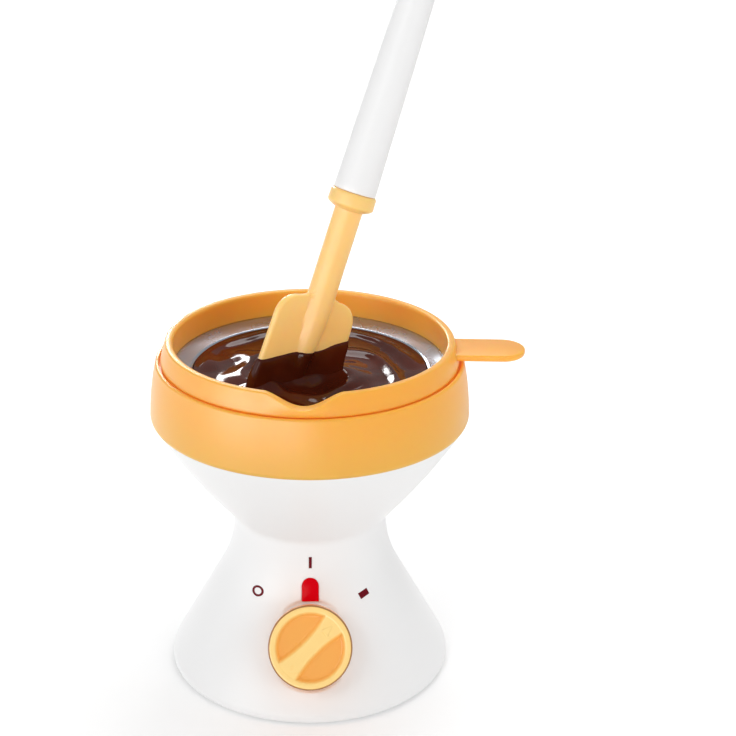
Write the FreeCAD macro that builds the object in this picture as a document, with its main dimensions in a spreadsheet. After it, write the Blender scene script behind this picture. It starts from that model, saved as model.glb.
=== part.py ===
import FreeCAD, Part
import math
import os
import Sketcher

# Electric chocolate fondue pot: a white hourglass base with a rotary switch, an orange collar,
# a lift-out melting pot with spout and handle tab, its chocolate, and a spatula standing in it.
# Frame: +Z up, origin on the table under the middle of the base, front towards -Y.
# Lengths in millimetres, angles in degrees.

SIZES = {
    # Outer form of the base housing, from the table up
    "base_radius": 60.9,
    "housing_lift": 1.5,
    "heel_inset": 0.8,
    "heel_rise": 3.8,
    "heel_arc": 6.0,
    "flare_rise": 36.7,
    "waist_flare": 7.2,
    "waist_rise": 27.0,
    "waist_arc": 54.0,
    "neck_radius": 32.8,
    "throat_flare": 1.7,
    "throat_rise": 4.2,
    "throat_arc": 6.0,
    "bowl_radius": 66.6,
    "bowl_rise": 43.8,
    "bowl_arc": 279.0,
    "housing_wall": 3.0,
    "neck_spigot_wall": 2.0,
    "neck_spigot_depth": 8.0,
    "neck_spigot_shoulder": 1.5,
    # Collar
    "collar_overhang": 0.6,
    "collar_edge_rise": 2.0,
    "collar_edge_arc": 2.6,
    "collar_rise": 23.7,
    "collar_arc": 120.0,
    "lip_inset": 2.6,
    "lip_rise": 0.6,
    "lip_round": 1.2,
    "lip_gap": 0.7,
    "seam_depth": 1.1,
    "collar_wall": 2.2,
    "guide_radius": 58.8,
    "guide_wall": 1.6,
    "guide_depth": 12.7,
    "ledge_width": 3.6,
    "ledge_thickness": 4.0,
    "ledge_hollow": 1.1,
    "spigot_depth": 3.0,
    "spigot_taper": 2.2,
    "seam_bevel": 0.3,
    # Melting pot
    "seat_gap": 0.3,
    "guide_gap": 0.4,
    "band_height": 9.0,
    "band_taper": 2.3,
    "band_wall": 3.1,
    "rim_round": 1.0,
    "flange_drop": 11.2,
    "flange_radius": 57.7,
    "skirt_height": 5.9,
    "skirt_wall": 2.4,
    "bowl_metal": 0.8,
    "bowl_depth": 37.0,
    "bowl_floor_radius": 40.5,
    "bowl_floor_arc": 6.0,
    "bowl_wall_radius": 44.5,
    "bowl_wall_rise": 5.0,
    "bowl_mouth_radius": 49.0,
    "bowl_mouth_drop": 13.5,
    "spout_turn": -2.5,
    "spout_half_width": 13.0,
    "spout_reach": 3.9,
    "spout_dip": 5.0,
    "spout_wall": 2.6,
    "spout_foot_rise": 1.3,
    "spout_groove_drop": 3.6,
    "spout_groove_inset": 0.5,
    "spout_overcut": 3.0,
    "spout_nose_radius": 1.5,
    "tab_length": 89.5,
    "tab_width": 19.6,
    "tab_thickness": 3.0,
    "tab_drop": 3.0,
    # Chocolate in the pot
    "chocolate_drop": 13.5,
    "chocolate_gap": 0.05,
    # Spatula, measured along its own length from the tip
    "tip_x": -12.3,
    "tip_y": -17.9,
    "tip_above_floor": 6.0,
    "spatula_lean": 21.2,
    "spatula_heading": 33.7,
    "spatula_roll": -3.5,
    "blade_width": 41.0,
    "blade_length": 54.4,
    "blade_thickness": 3.2,
    "blade_corner": 8.5,
    "blade_shoulder": 9.0,
    "blade_gap": 0.3,
    "shaft_width": 11.6,
    "shaft_end": 92.4,
    "spine_start": 6.0,
    "spine_tip_radius": 2.0,
    "grip_collar_radius": 9.6,
    "grip_collar_length": 7.5,
    "grip_base_radius": 8.85,
    "grip_end_radius": 6.3,
    "grip_length": 125.0,
    "tang_radius": 3.0,
    "tang_length": 30.0,
    # Knob and switch, measured from the flare along the knob's axis
    "knob_height": 29.8,
    "knob_radius": 17.35,
    "knob_top": 14.0,
    "knob_gap": 0.5,
    "knob_wall": 2.0,
    "knob_crown": 4.2,
    "knob_dish": 2.6,
    "knob_rim": 2.6,
    "ridge_width": 6.0,
    "ridge_angle": 45.0,
    "hub_radius": 4.5,
    "hub_start": 2.5,
    "recess_radius": 20.5,
    "recess_depth": 1.5,
    "pad_wall": 3.0,
    "switch_width": 18.0,
    "switch_depth": 12.0,
    "bushing_radius": 3.5,
    "nut_radius": 5.5,
    "nut_thickness": 2.0,
    "shaft_radius": 2.0,
    "shaft_top": 10.4,
    "running_fit": 0.05,
    "loose_fit": 0.1,
    "rotor_radius": 5.0,
    "rotor_thickness": 2.0,
    "clip_width": 1.6,
    "clip_thickness": 0.5,
    "blade_reach": 5.0,
    "blade_spread": 6.0,
    "blade_offset": 4.0,
    "blade_wide": 3.0,
    "blade_thick": 0.8,
    # Indicator lamp above the knob
    "lens_width": 7.0,
    "lens_length": 10.6,
    "lens_height": 51.0,
    "lens_tilt": 68.0,
    "lens_proud": 0.7,
    "lens_depth": 5.2,
    "lens_flange": 1.2,
    "lamp_radius": 2.6,
    "lamp_length": 8.0,
    # Bottom cover, feet and their screws
    "cover_height": 2.5,
    "cover_thickness": 2.5,
    "cover_gap": 0.3,
    "foot_circle": 47.0,
    "foot_radius": 6.0,
    "foot_stem": 2.4,
    "foot_bulb": 3.2,
    "foot_bulb_height": 1.5,
    "boss_circle": 43.0,
    "boss_radius": 3.6,
    "boss_top": 44.0,
    "screw_radius": 1.5,
    "screw_length": 12.0,
    "support_screw_length": 8.0,
    "thread_room": 0.5,
    "screw_head_radius": 2.9,
    "screw_head": 1.9,
    # Cord inlet at the rear
    "gland_height": 17.0,
    "gland_recess_radius": 8.5,
    "gland_sink": 0.5,
    "gland_rim": 2.0,
    "gland_bore": 3.3,
    "gland_body_radius": 5.2,
    "gland_flange_radius": 7.2,
    "gland_flange": 3.5,
    "gland_inner": 2.5,
    "clamp_reach": 12.0,
    "clamp_length": 26.0,
    "clamp_width": 7.0,
    "clamp_thickness": 2.4,
    "clamp_post_radius": 3.2,
    "clamp_post_spread": 9.0,
    # Terminal block
    "block_length": 30.0,
    "block_width": 12.0,
    "block_height": 11.0,
    "block_y": 16.0,
    "block_screw_radius": 1.8,
    # Heater stack under the pot
    "plate_radius": 43.0,
    "plate_thickness": 4.0,
    "gasket_thickness": 1.0,
    "gasket_width": 4.0,
    "support_thickness": 1.2,
    "support_gap": 0.5,
    "support_bore": 37.0,
    "support_lip": 3.0,
    "support_boss_inset": 5.0,
    "support_boss_radius": 4.0,
    "support_boss_length": 24.0,
    "element_circle": 28.0,
    "element_radius": 3.2,
    "element_sink": 1.2,
    "element_sweep": 330.0,
    "element_pin_radius": 1.2,
    "element_pin_length": 7.0,
    "thermostat_flange": 12.0,
    "thermostat_radius": 8.5,
    "thermostat_height": 6.0,
    "thermostat_plate": 1.2,
    "bracket_length": 38.0,
    "bracket_width": 12.0,
    "fuse_radius": 2.0,
    "fuse_length": 12.0,
    "fuse_wall": 1.2,
    "shield_drop": 13.0,
    "shield_thickness": 0.8,
    "shield_bore": 14.0,
    "shield_edge_inset": 4.0,
    "standoff_radius": 2.5,
    # Internal leads
    "lead_radius": 1.1,
    "lead_bend": 5.0,
    "lead_exit_drop": 6.0,
    "lead_reach": 12.0,
    "lead_step": 9.0,
    "lead_rise": 14.0,
    "lead_offset": 5.0,
    "earth_offset": 8.0,
}

BOLTS = 3
BOLT_START = 60.0
FEET = 4
FOOT_START = 45.0
FULL_TURN = 360.0
# The other radii were drawn for these two, and follow when one changes
DRAWN_BASE_RADIUS = 60.9
DRAWN_BOWL_RADIUS = 66.6

document = FreeCAD.newDocument("fondue_pot")
sheet = document.addObject("Spreadsheet::Sheet", "sizes")
for row, (alias, number) in enumerate(SIZES.items(), start=1):
    sheet.set(f"A{row}", alias)
    sheet.set(f"B{row}", str(number))
    sheet.setAlias(f"B{row}", alias)
document.recompute()


class Size:
    """A number, and the expression over the sheet's cells that gives it."""

    def __init__(self, value, text):
        self.value = value
        self.text = text

    def __add__(self, other):
        other = as_size(other)
        return Size(self.value + other.value, f"({self.text} + {other.text})")

    def __sub__(self, other):
        other = as_size(other)
        return Size(self.value - other.value, f"({self.text} - {other.text})")

    def __mul__(self, other):
        other = as_size(other)
        return Size(self.value * other.value, f"({self.text} * {other.text})")

    def __truediv__(self, other):
        other = as_size(other)
        return Size(self.value / other.value, f"({self.text} / {other.text})")

    def __neg__(self):
        return Size(-self.value, f"(0 - {self.text})")

    def __rsub__(self, other):
        return as_size(other) - self


def as_size(item):
    """A plain number as a Size; a Size stays as it is."""
    return item if isinstance(item, Size) else Size(float(item), f"({float(item)})")


def cosine(angle):
    return Size(math.cos(math.radians(angle.value)), f"cos({angle.text})")


def sine(angle):
    return Size(math.sin(math.radians(angle.value)), f"sin({angle.text})")


def slope_angle(rise, run):
    return Size(math.degrees(math.atan(rise.value / run.value)), f"(atan({rise.text} / {run.text}) / 1 deg)")


class Sheet:
    """The sheet's cells as Size values, by alias."""

    def __init__(self):
        for name in SIZES:
            setattr(self, name, Size(float(sheet.get(name)), f"{sheet.Name}.{name}"))


d = Sheet()

# The plan grows with the base, and the pot and its heater grow with the bowl that carries them
base_grow = d.base_radius / DRAWN_BASE_RADIUS
neck_radius = d.neck_radius * base_grow
bowl_radius = d.bowl_radius * base_grow
foot_circle = d.foot_circle * base_grow
boss_circle = d.boss_circle * base_grow
pot_grow = bowl_radius / DRAWN_BOWL_RADIUS
guide_radius = d.guide_radius * pot_grow
flange_radius = d.flange_radius * pot_grow
bowl_mouth_radius = d.bowl_mouth_radius * pot_grow
bowl_wall_radius = d.bowl_wall_radius * pot_grow
bowl_floor_radius = d.bowl_floor_radius * pot_grow
tab_length = d.tab_length * pot_grow
plate_radius = d.plate_radius * pot_grow
support_bore = d.support_bore * pot_grow
element_circle = d.element_circle * pot_grow
fuse_offset = (d.thermostat_flange + element_circle - d.element_radius) / 2
tip_x = d.tip_x * pot_grow
tip_y = d.tip_y * pot_grow
blade_width = d.blade_width * pot_grow
# Cutters reach this far past what they cut
cutter = d.housing_wall * 7

# Heights and radii that several pieces share
heel_top = d.housing_lift + d.heel_rise
heel_radius = d.base_radius - d.heel_inset
waist_foot = heel_top + d.flare_rise
waist_radius = neck_radius + d.waist_flare
neck_top = waist_foot + d.waist_rise
throat_top = neck_top + d.throat_rise
throat_radius = neck_radius + d.throat_flare
bowl_top = throat_top + d.bowl_rise
collar_radius = bowl_radius + d.collar_overhang
collar_edge = bowl_top + d.collar_edge_rise
collar_top = bowl_top + d.collar_rise
seam_radius = guide_radius + d.ledge_width
band_foot = collar_top + d.seat_gap
rim_top = band_foot + d.band_height
band_outer = seam_radius - d.seam_bevel
rim_outer = seam_radius - d.band_taper
rim_inner = rim_outer - d.band_wall
pot_floor = rim_top - d.bowl_depth
plate_top = pot_floor - d.bowl_metal - d.seat_gap
plate_foot = plate_top - d.plate_thickness
support_top = plate_foot - d.gasket_thickness
support_foot = support_top - d.support_thickness
shield_top = support_foot - d.shield_drop
cover_top = d.cover_height + d.cover_thickness

# The flare is a cone; the knob stands square to it
flare_angle = slope_angle(heel_radius - waist_radius, d.flare_rise)
knob_tilt = 90 - flare_angle
knob_out = cosine(flare_angle)
knob_up = sine(flare_angle)


def flare_radius(height):
    """Outer radius of the flare at a height."""
    return heel_radius - (heel_radius - waist_radius) * (height - heel_top) / d.flare_rise


knob_foot_radius = flare_radius(d.knob_height)
gland_seat = flare_radius(d.gland_height + d.gland_flange_radius) - d.gland_sink


def funnel_radius(height):
    """Inner radius of the upper housing on the chord of its wall, so never more than the real one."""
    share = (height - throat_top) / d.bowl_rise
    return throat_radius + (bowl_radius - throat_radius) * share - d.housing_wall


def bind(item, path, size):
    """Tie one property of a document object to the sheet."""
    item.setExpression(path, as_size(size).text)


def place(item, x, y, z, tilt=None, turn=None):
    """Tie an object's place to the sheet; tilt turns it about X, turn turns it about Z."""
    if tilt is not None:
        axis = FreeCAD.Vector(1, 0, 0)
    else:
        axis = FreeCAD.Vector(0, 0, 1)
    angle = tilt if tilt is not None else turn
    if angle is not None:
        item.Placement = FreeCAD.Placement(FreeCAD.Vector(), FreeCAD.Rotation(axis, as_size(angle).value))
        bind(item, "Placement.Rotation.Angle", angle)
    bind(item, "Placement.Base.x", x)
    bind(item, "Placement.Base.y", y)
    bind(item, "Placement.Base.z", z)
    return item


def on_knob_axis(distance):
    """Y and Z of a point on the knob's axis, a distance out from the flare."""
    return -(knob_foot_radius + knob_out * distance), d.knob_height + knob_up * distance


def arc_middle(start, end, radius, turn):
    """Middle point of the minor arc from start to end; turn 1 is counter-clockwise, -1 clockwise."""
    half = start.distanceToPoint(end) / 2
    sagitta = radius - math.sqrt(max(radius * radius - half * half, 0.0))
    along = (end - start).normalize()
    outward = FreeCAD.Vector(along.y, -along.x, 0) * turn
    return (start + end) * 0.5 + outward * sagitta


def draw(sketch, outline):
    """Draw a closed outline and tie every corner to the sheet.

    A corner is (x, y), or (x, y, radius, turn) where an arc arrives at it.
    """
    points = [FreeCAD.Vector(as_size(corner[0]).value, as_size(corner[1]).value, 0) for corner in outline]
    edges = []
    rules = []
    ties = []
    for index, corner in enumerate(outline):
        start = points[index - 1]
        end = points[index]
        if len(corner) == 2:
            edge = sketch.addGeometry(Part.LineSegment(start, end), False)
        else:
            middle = arc_middle(start, end, as_size(corner[2]).value, corner[3])
            edge = sketch.addGeometry(Part.Arc(start, middle, end), False)
            ties.append((len(rules), as_size(corner[2])))
            rules.append(Sketcher.Constraint("Radius", edge, as_size(corner[2]).value))
        first_end = sketch.getPoint(edge, 1)
        second_end = sketch.getPoint(edge, 2)
        forward = first_end.distanceToPoint(start) < second_end.distanceToPoint(start)
        edges.append((edge, 1, 2) if forward else (edge, 2, 1))
    for index, (edge, first, last) in enumerate(edges):
        before = edges[index - 1]
        rules.append(Sketcher.Constraint("Coincident", before[0], before[2], edge, first))
        for axis, name, size in ((-2, "DistanceX", outline[index][0]), (-1, "DistanceY", outline[index][1])):
            size = as_size(size)
            if size.value == 0.0:
                rules.append(Sketcher.Constraint("PointOnObject", edge, last, axis))
            else:
                ties.append((len(rules), size))
                rules.append(Sketcher.Constraint(name, -1, 1, edge, last, size.value))
    sketch.addConstraint(rules)
    for number, size in ties:
        bind(sketch, f"Constraints[{number}]", size)


def new_body(name):
    return document.addObject("PartDesign::Body", name)


def new_sketch(body, name, role, offset=0.0):
    """A sketch on one of the body's own origin planes, lifted off it by an offset."""
    sketch = body.newObject("Sketcher::SketchObject", name)
    plane = next(item for item in body.Origin.OriginFeatures if item.Role == role)
    sketch.AttachmentSupport = [(plane, "")]
    sketch.MapMode = "FlatFace"
    bind(sketch, "AttachmentOffset.Base.z", offset)
    return sketch


def revolve(body, name, outline, kind="PartDesign::Revolution"):
    """Turn an outline of (radius, height) corners about the body's Z axis."""
    sketch = new_sketch(body, f"{name}_profile", "XZ_Plane")
    draw(sketch, outline)
    feature = body.newObject(kind, f"{name}_turn")
    feature.Profile = sketch
    feature.ReferenceAxis = (sketch, ["V_Axis"])
    feature.Angle = FULL_TURN
    return feature


def pad(body, name, outline, height, thickness, role="XY_Plane"):
    """Raise an outline by a thickness from a plane at a height."""
    sketch = new_sketch(body, f"{name}_profile", role, height)
    draw(sketch, outline)
    feature = body.newObject("PartDesign::Pad", f"{name}_pad")
    feature.Profile = sketch
    bind(feature, "Length", thickness)
    return feature


def pocket(body, name, outline, height, depth):
    """Cut an outline down by a depth from a plane at a height."""
    sketch = new_sketch(body, f"{name}_profile", "XY_Plane", height)
    draw(sketch, outline)
    feature = body.newObject("PartDesign::Pocket", f"{name}_pocket")
    feature.Profile = sketch
    bind(feature, "Length", depth)
    return feature


def turned(name, outline):
    """A body made by turning one outline."""
    body = new_body(name)
    revolve(body, name, outline)
    return body


def rectangle(width, length, x=0.0, y=0.0):
    """Corners of a rectangle about (x, y)."""
    half_width = as_size(width) / 2
    half_length = as_size(length) / 2
    x = as_size(x)
    y = as_size(y)
    return [(x - half_width, y - half_length), (x + half_width, y - half_length),
            (x + half_width, y + half_length), (x - half_width, y + half_length)]


def slanted(outline, angle):
    """An outline of straight sides turned clockwise about the origin."""
    across = cosine(angle)
    along = sine(angle)
    return [(as_size(x) * across + as_size(y) * along, as_size(y) * across - as_size(x) * along)
            for x, y in outline]


def cylinder(name, radius, height):
    item = document.addObject("Part::Cylinder", name)
    bind(item, "Radius", radius)
    bind(item, "Height", height)
    return item


def box(name, width, length, height):
    item = document.addObject("Part::Box", name)
    bind(item, "Length", width)
    bind(item, "Width", length)
    bind(item, "Height", height)
    return item


def cut(name, base, tool):
    item = document.addObject("Part::Cut", name)
    item.Base = base
    item.Tool = tool
    return item


def fuse(name, pieces):
    item = document.addObject("Part::MultiFuse", name)
    item.Shapes = pieces
    return item


def common(name, base, tool):
    item = document.addObject("Part::Common", name)
    item.Base = base
    item.Tool = tool
    return item


def group(name, pieces):
    """Separate solids that share one node."""
    item = document.addObject("Part::Compound", name)
    item.Links = pieces
    return item


def around(count, first=0.0):
    """Angles of a number of places evenly round the axis."""
    return [first + FULL_TURN * index / count for index in range(count)]


def at_angle(circle, angle):
    """X and Y of a place on a circle."""
    angle = as_size(angle)
    return circle * cosine(angle), circle * sine(angle)


def screw(name, length):
    """A pan-head screw, its head's seat at z 0 and its shank upwards."""
    return turned(name, [
        (0, -d.screw_head), (d.screw_head_radius - 0.6, -d.screw_head),
        (d.screw_head_radius, 0.7 - d.screw_head), (d.screw_head_radius, 0),
        (d.screw_radius, 0), (d.screw_radius, length - 0.8), (d.screw_radius - 0.7, length), (0, length)])


def housing_outline(inset):
    """Side of the base housing from the foot to the neck, moved inwards by an inset."""
    return [
        (d.base_radius - inset, d.housing_lift),
        (heel_radius - inset, heel_top, d.heel_arc, 1),
        (waist_radius - inset, waist_foot),
        (neck_radius - inset, neck_top, d.waist_arc, -1)]


def make_housing():
    """Base housing: outer form up to the neck less a cavity that leaves bosses and pads standing."""
    outer = turned("housing_form", [(0, d.housing_lift)] + housing_outline(as_size(0)) + [(0, neck_top)])
    above = neck_top + 1
    below = d.housing_lift - 1
    cavity = turned("housing_cavity", [(0, below), (d.base_radius - d.housing_wall, below)]
                    + housing_outline(d.housing_wall)
                    + [(neck_radius - d.housing_wall, above), (0, above)])
    bosses = []
    holes = []
    for number, angle in enumerate(around(BOLTS, BOLT_START), start=1):
        x, y = at_angle(boss_circle, angle)
        boss = cylinder(f"foot_boss_{number}", d.boss_radius, d.boss_top - cover_top)
        bosses.append(place(boss, x, y, cover_top))
        depth = d.screw_length - d.cover_thickness + d.thread_room
        hole = cylinder(f"foot_boss_hole_{number}", d.screw_radius + d.running_fit, depth)
        holes.append(place(hole, x, y, cover_top))
    y, z = on_knob_axis(-d.recess_depth - d.pad_wall)
    pad_tool = cylinder("switch_pad", d.recess_radius - 2, d.recess_depth + d.pad_wall)
    bosses.append(place(pad_tool, 0, y, z, tilt=knob_tilt))
    pad_length = d.base_radius - gland_seat
    gland_pad = cylinder("gland_pad", d.gland_recess_radius + d.gland_rim, d.housing_wall + pad_length)
    bosses.append(place(gland_pad, 0, gland_seat + pad_length, d.gland_height, tilt=90))
    kept = cut("housing_hollow", cavity, fuse("housing_bosses", bosses))
    y, z = on_knob_axis(-d.recess_depth)
    recess = place(cylinder("knob_recess", d.recess_radius, cutter), 0, y, z, tilt=knob_tilt)
    y, z = on_knob_axis(-cutter)
    bushing_hole = cylinder("bushing_hole", d.bushing_radius + d.loose_fit, cutter * 1.5)
    place(bushing_hole, 0, y, z, tilt=knob_tilt)
    gland_recess = cylinder("gland_recess", d.gland_recess_radius, cutter)
    place(gland_recess, 0, gland_seat + cutter, d.gland_height, tilt=90)
    gland_hole = cylinder("gland_hole", d.gland_body_radius + d.loose_fit, cutter * 1.5)
    place(gland_hole, 0, gland_seat + cutter / 2, d.gland_height, tilt=90)
    window = new_body("lens_window")
    pad(window, "lens_window", tombstone(d.loose_fit), -(cutter / 2), cutter)
    place(window, 0, lens_y, d.lens_height, tilt=d.lens_tilt)
    tools = fuse("housing_cuts", [kept, recess, bushing_hole, gland_recess, gland_hole, window] + holes)
    return cut("base_housing", outer, tools)


def make_upper_shell():
    """Upper shell: funnel from the neck to the collar, a spigot in the neck, and bosses for the heater."""
    wall = d.housing_wall
    spigot_outer = neck_radius - wall - d.loose_fit
    spigot_inner = spigot_outer - d.neck_spigot_wall
    spigot_foot = neck_top - d.neck_spigot_depth
    side = [(neck_radius, neck_top), (throat_radius, throat_top, d.throat_arc, -1),
            (bowl_radius, bowl_top, d.bowl_arc, 1)]
    shell = turned("upper_shell_form", side + [
        (bowl_radius - wall, bowl_top),
        (throat_radius - wall, throat_top, d.bowl_arc, -1),
        (spigot_inner, neck_top + d.neck_spigot_shoulder),
        (spigot_inner, spigot_foot),
        (spigot_outer, spigot_foot),
        (spigot_outer, neck_top)])
    room = turned("upper_shell_room", [(0, neck_top)] + side + [(0, bowl_top)])
    bosses = []
    holes = []
    for number, angle in enumerate(around(BOLTS, BOLT_START), start=1):
        x, y = at_angle(support_bolts, angle)
        boss = cylinder(f"support_boss_{number}", d.support_boss_radius, d.support_boss_length)
        bosses.append(place(boss, x, y, support_foot - d.support_boss_length))
        depth = d.support_screw_length - d.support_thickness + d.thread_room
        hole = cylinder(f"support_boss_hole_{number}", d.screw_radius + d.running_fit, depth)
        holes.append(place(hole, x, y, support_foot - depth))
    within = common("support_bosses", room, fuse("support_boss_forms", bosses))
    return cut("upper_shell", fuse("upper_shell_whole", [shell, within]), fuse("upper_shell_holes", holes))


def tombstone(gap):
    """Outline of the lamp window: straight sides and a round top, grown by a gap."""
    half = d.lens_width / 2 + gap
    foot = -(d.lens_length / 2) - gap
    shoulder = d.lens_length / 2 - d.lens_width / 2
    return [(-half, foot), (half, foot), (half, shoulder), (0, shoulder + half, half, 1),
            (-half, shoulder, half, 1)]


def waist_radius_at_lens():
    """Radius of the waist's arc at the height of the lens, from the arc that leaves the flare's edge."""
    rise = (d.lens_height - waist_foot) / d.waist_rise
    return waist_radius - d.waist_flare * rise * (2 - rise)


support_radius = funnel_radius(support_foot) - d.support_gap
support_bolts = support_radius - d.support_boss_inset
lens_y = -waist_radius_at_lens()


def make_collar():
    """Collar: outer barrel and lip, groove and ledge under the pot's band, guide wall, and lower spigot."""
    lip_radius = collar_radius - d.lip_inset
    lip_top = collar_top + d.lip_rise
    ledge_outer = seam_radius - d.seam_bevel
    groove_outer = seam_radius + d.lip_gap
    groove_foot = collar_top - d.seam_depth
    guide_outer = guide_radius + d.guide_wall
    guide_foot = collar_top - d.guide_depth
    ledge_foot = collar_top - d.ledge_thickness
    spigot_outer = bowl_radius - d.housing_wall - d.loose_fit
    return turned("collar", [
        (bowl_radius, bowl_top),
        (collar_radius, collar_edge, d.collar_edge_arc, 1),
        (lip_radius, lip_top - d.lip_round, d.collar_arc, 1),
        (lip_radius - d.lip_round, lip_top, d.lip_round, 1),
        (groove_outer, lip_top),
        (groove_outer, groove_foot),
        (ledge_outer, groove_foot),
        (ledge_outer, collar_top),
        (guide_radius, collar_top),
        (guide_radius, guide_foot),
        (guide_outer, guide_foot),
        (guide_outer, ledge_foot),
        (guide_outer + d.ledge_hollow, ledge_foot),
        (collar_radius - d.collar_wall, collar_edge),
        (spigot_outer - d.spigot_taper, bowl_top),
        (spigot_outer - d.spigot_taper * 2, bowl_top - d.spigot_depth),
        (spigot_outer - d.spigot_taper, bowl_top - d.spigot_depth),
        (spigot_outer, bowl_top)])


def make_pot_ring():
    """Pot ring: band, groove for the bowl's flange, skirt in the collar, spout and handle tab."""
    body = new_body("pot_ring")
    skirt_outer = guide_radius - d.guide_gap
    flange_top = rim_top - d.flange_drop
    flange_foot = flange_top - d.bowl_metal
    revolve(body, "pot_band", [
        (band_outer, band_foot),
        (seam_radius - d.seam_bevel / 2, band_foot + d.seam_bevel),
        (rim_outer, rim_top - d.rim_round),
        (rim_outer - d.rim_round, rim_top, d.rim_round, 1),
        (rim_inner + d.rim_round, rim_top),
        (rim_inner, rim_top - d.rim_round, d.rim_round, 1),
        (rim_inner, flange_top + d.running_fit),
        (flange_radius + d.running_fit, flange_top + d.running_fit),
        (flange_radius + d.running_fit, flange_foot - d.running_fit),
        (skirt_outer - d.skirt_wall, flange_foot - d.running_fit),
        (skirt_outer - d.skirt_wall, flange_foot - d.skirt_height),
        (skirt_outer, flange_foot - d.skirt_height),
        (skirt_outer, band_foot)])
    tab_round = d.tab_width / 2
    tab_middle = tab_length - tab_round
    pad(body, "handle_tab", [
        (rim_outer - 1, -tab_round), (tab_middle, -tab_round), (tab_length, 0, tab_round, 1),
        (tab_middle, tab_round, tab_round, 1), (rim_outer - 1, tab_round)],
        rim_top - d.tab_drop - d.tab_thickness, d.tab_thickness)
    add_spout(body)
    place(body, 0, 0, 0, turn=d.spout_turn)
    return body


def add_spout(body):
    """Pouring spout: the band bulges to a nose, a channel follows it, and a notch lowers its lip."""
    lip = rim_top - d.spout_dip
    nose = rim_outer + d.spout_reach
    foot = band_foot + d.spout_foot_rise
    outward = (nose - band_outer) / (lip - foot)
    root = rim_inner
    half = d.spout_half_width
    top_nose = nose + outward * d.spout_dip
    blunt = d.spout_nose_radius
    loft(body, "spout_lip", "PartDesign::AdditiveLoft", [
        (foot, spout_plan(half / 2, root + d.spout_wall, band_outer, blunt)),
        (rim_top, spout_plan(half, root + d.spout_wall, top_nose, blunt))])
    groove_foot = lip - d.spout_groove_drop
    groove_start = root - d.spout_groove_inset
    inside = root - d.spout_overcut
    steep = (nose - d.spout_wall - groove_start) / d.spout_groove_drop
    over = rim_top + 1
    groove_half = half - d.spout_wall
    loft(body, "spout_groove", "PartDesign::SubtractiveLoft", [
        (groove_foot, spout_plan(groove_half / 3, inside, groove_start, blunt / 2)),
        (over, spout_plan(groove_half, inside, groove_start + steep * (over - groove_foot), blunt / 2))])
    sketch = new_sketch(body, "spout_notch_profile", "XZ_Plane", inside)
    draw(sketch, [(-half - 1, over), (-half, rim_top), (-blunt, lip + blunt / 3), (0, lip, blunt * 2, 1),
                  (blunt, lip + blunt / 3, blunt * 2, 1), (half, rim_top), (half + 1, over)])
    notch = body.newObject("PartDesign::Pocket", "spout_notch")
    notch.Profile = sketch
    notch.Reversed = True
    bind(notch, "Length", d.spout_reach * 6)


def spout_plan(half, root, nose, blunt):
    """The spout seen from above: a triangle with a blunt nose towards the front."""
    return [(-half, -root), (-blunt, -nose), (blunt, -nose), (half, -root)]


def loft(body, name, kind, sections):
    """Join outlines at several heights; each section is (height, outline)."""
    sketches = []
    for number, (height, outline) in enumerate(sections, start=1):
        sketch = new_sketch(body, f"{name}_section_{number}", "XY_Plane", height)
        draw(sketch, outline)
        sketches.append(sketch)
    feature = body.newObject(kind, f"{name}_loft")
    feature.Profile = sketches[0]
    feature.Sections = sketches[1:]
    feature.Ruled = True
    return feature


def bowl_side(shift):
    """Inside of the metal bowl from floor to mouth, moved outwards by a shift."""
    wall_foot = pot_floor + d.bowl_wall_rise
    return [
        (bowl_floor_radius, pot_floor - shift),
        (bowl_wall_radius + shift, wall_foot, d.bowl_floor_arc, 1),
        (bowl_mouth_radius + shift, rim_top - d.bowl_mouth_drop)]


def make_bowl():
    """Metal bowl: floor, steep wall, shallow lip and the flange in the ring's groove."""
    flange_top = rim_top - d.flange_drop
    lip_radius = flange_radius - 1.5
    metal = d.bowl_metal
    return turned("pot_bowl", [(0, pot_floor - metal)] + bowl_side(metal)
                  + [(lip_radius, flange_top - metal), (flange_radius, flange_top - metal),
                     (flange_radius, flange_top), (lip_radius, flange_top)]
                  + bowl_side_down() + [(0, pot_floor)])


def bowl_side_down():
    """Inside of the metal bowl from mouth to floor."""
    wall_foot = pot_floor + d.bowl_wall_rise
    return [
        (bowl_mouth_radius, rim_top - d.bowl_mouth_drop),
        (bowl_wall_radius, wall_foot),
        (bowl_floor_radius, pot_floor, d.bowl_floor_arc, -1)]


def blade_tip(gap):
    """The round-cornered tip of the blade seen flat, tip at y 0, grown by a gap."""
    half = blade_width / 2 + gap
    corner = d.blade_corner
    return [(-half, corner - gap), (corner - half, -gap, corner, 1), (half - corner, -gap),
            (half, corner - gap, corner, 1)]


def blade_outline():
    """The blade seen flat, with round shoulders towards the shaft."""
    half = blade_width / 2
    shoulder = d.blade_shoulder
    foot = d.blade_length - shoulder
    return blade_tip(as_size(0)) + [
        (half, foot), (half - shoulder, d.blade_length, shoulder, 1),
        (shoulder - half, d.blade_length), (-half, foot, shoulder, 1)]


def slot_outline():
    """Room for the blade in the chocolate, open past its level."""
    half = blade_width / 2 + d.blade_gap
    reach = d.blade_length
    return blade_tip(d.blade_gap) + [(half, reach), (-half, reach)]


def spatula_rotation():
    """Attitude of the spatula: its length leans off the vertical towards a heading, with a roll."""
    lean = FreeCAD.Rotation(FreeCAD.Vector(0, 1, 0), d.spatula_lean.value)
    heading = FreeCAD.Rotation(FreeCAD.Vector(0, 0, 1), d.spatula_heading.value)
    roll = FreeCAD.Rotation(FreeCAD.Vector(0, 0, 1), d.spatula_roll.value)
    return heading.multiply(lean).multiply(roll)


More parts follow.
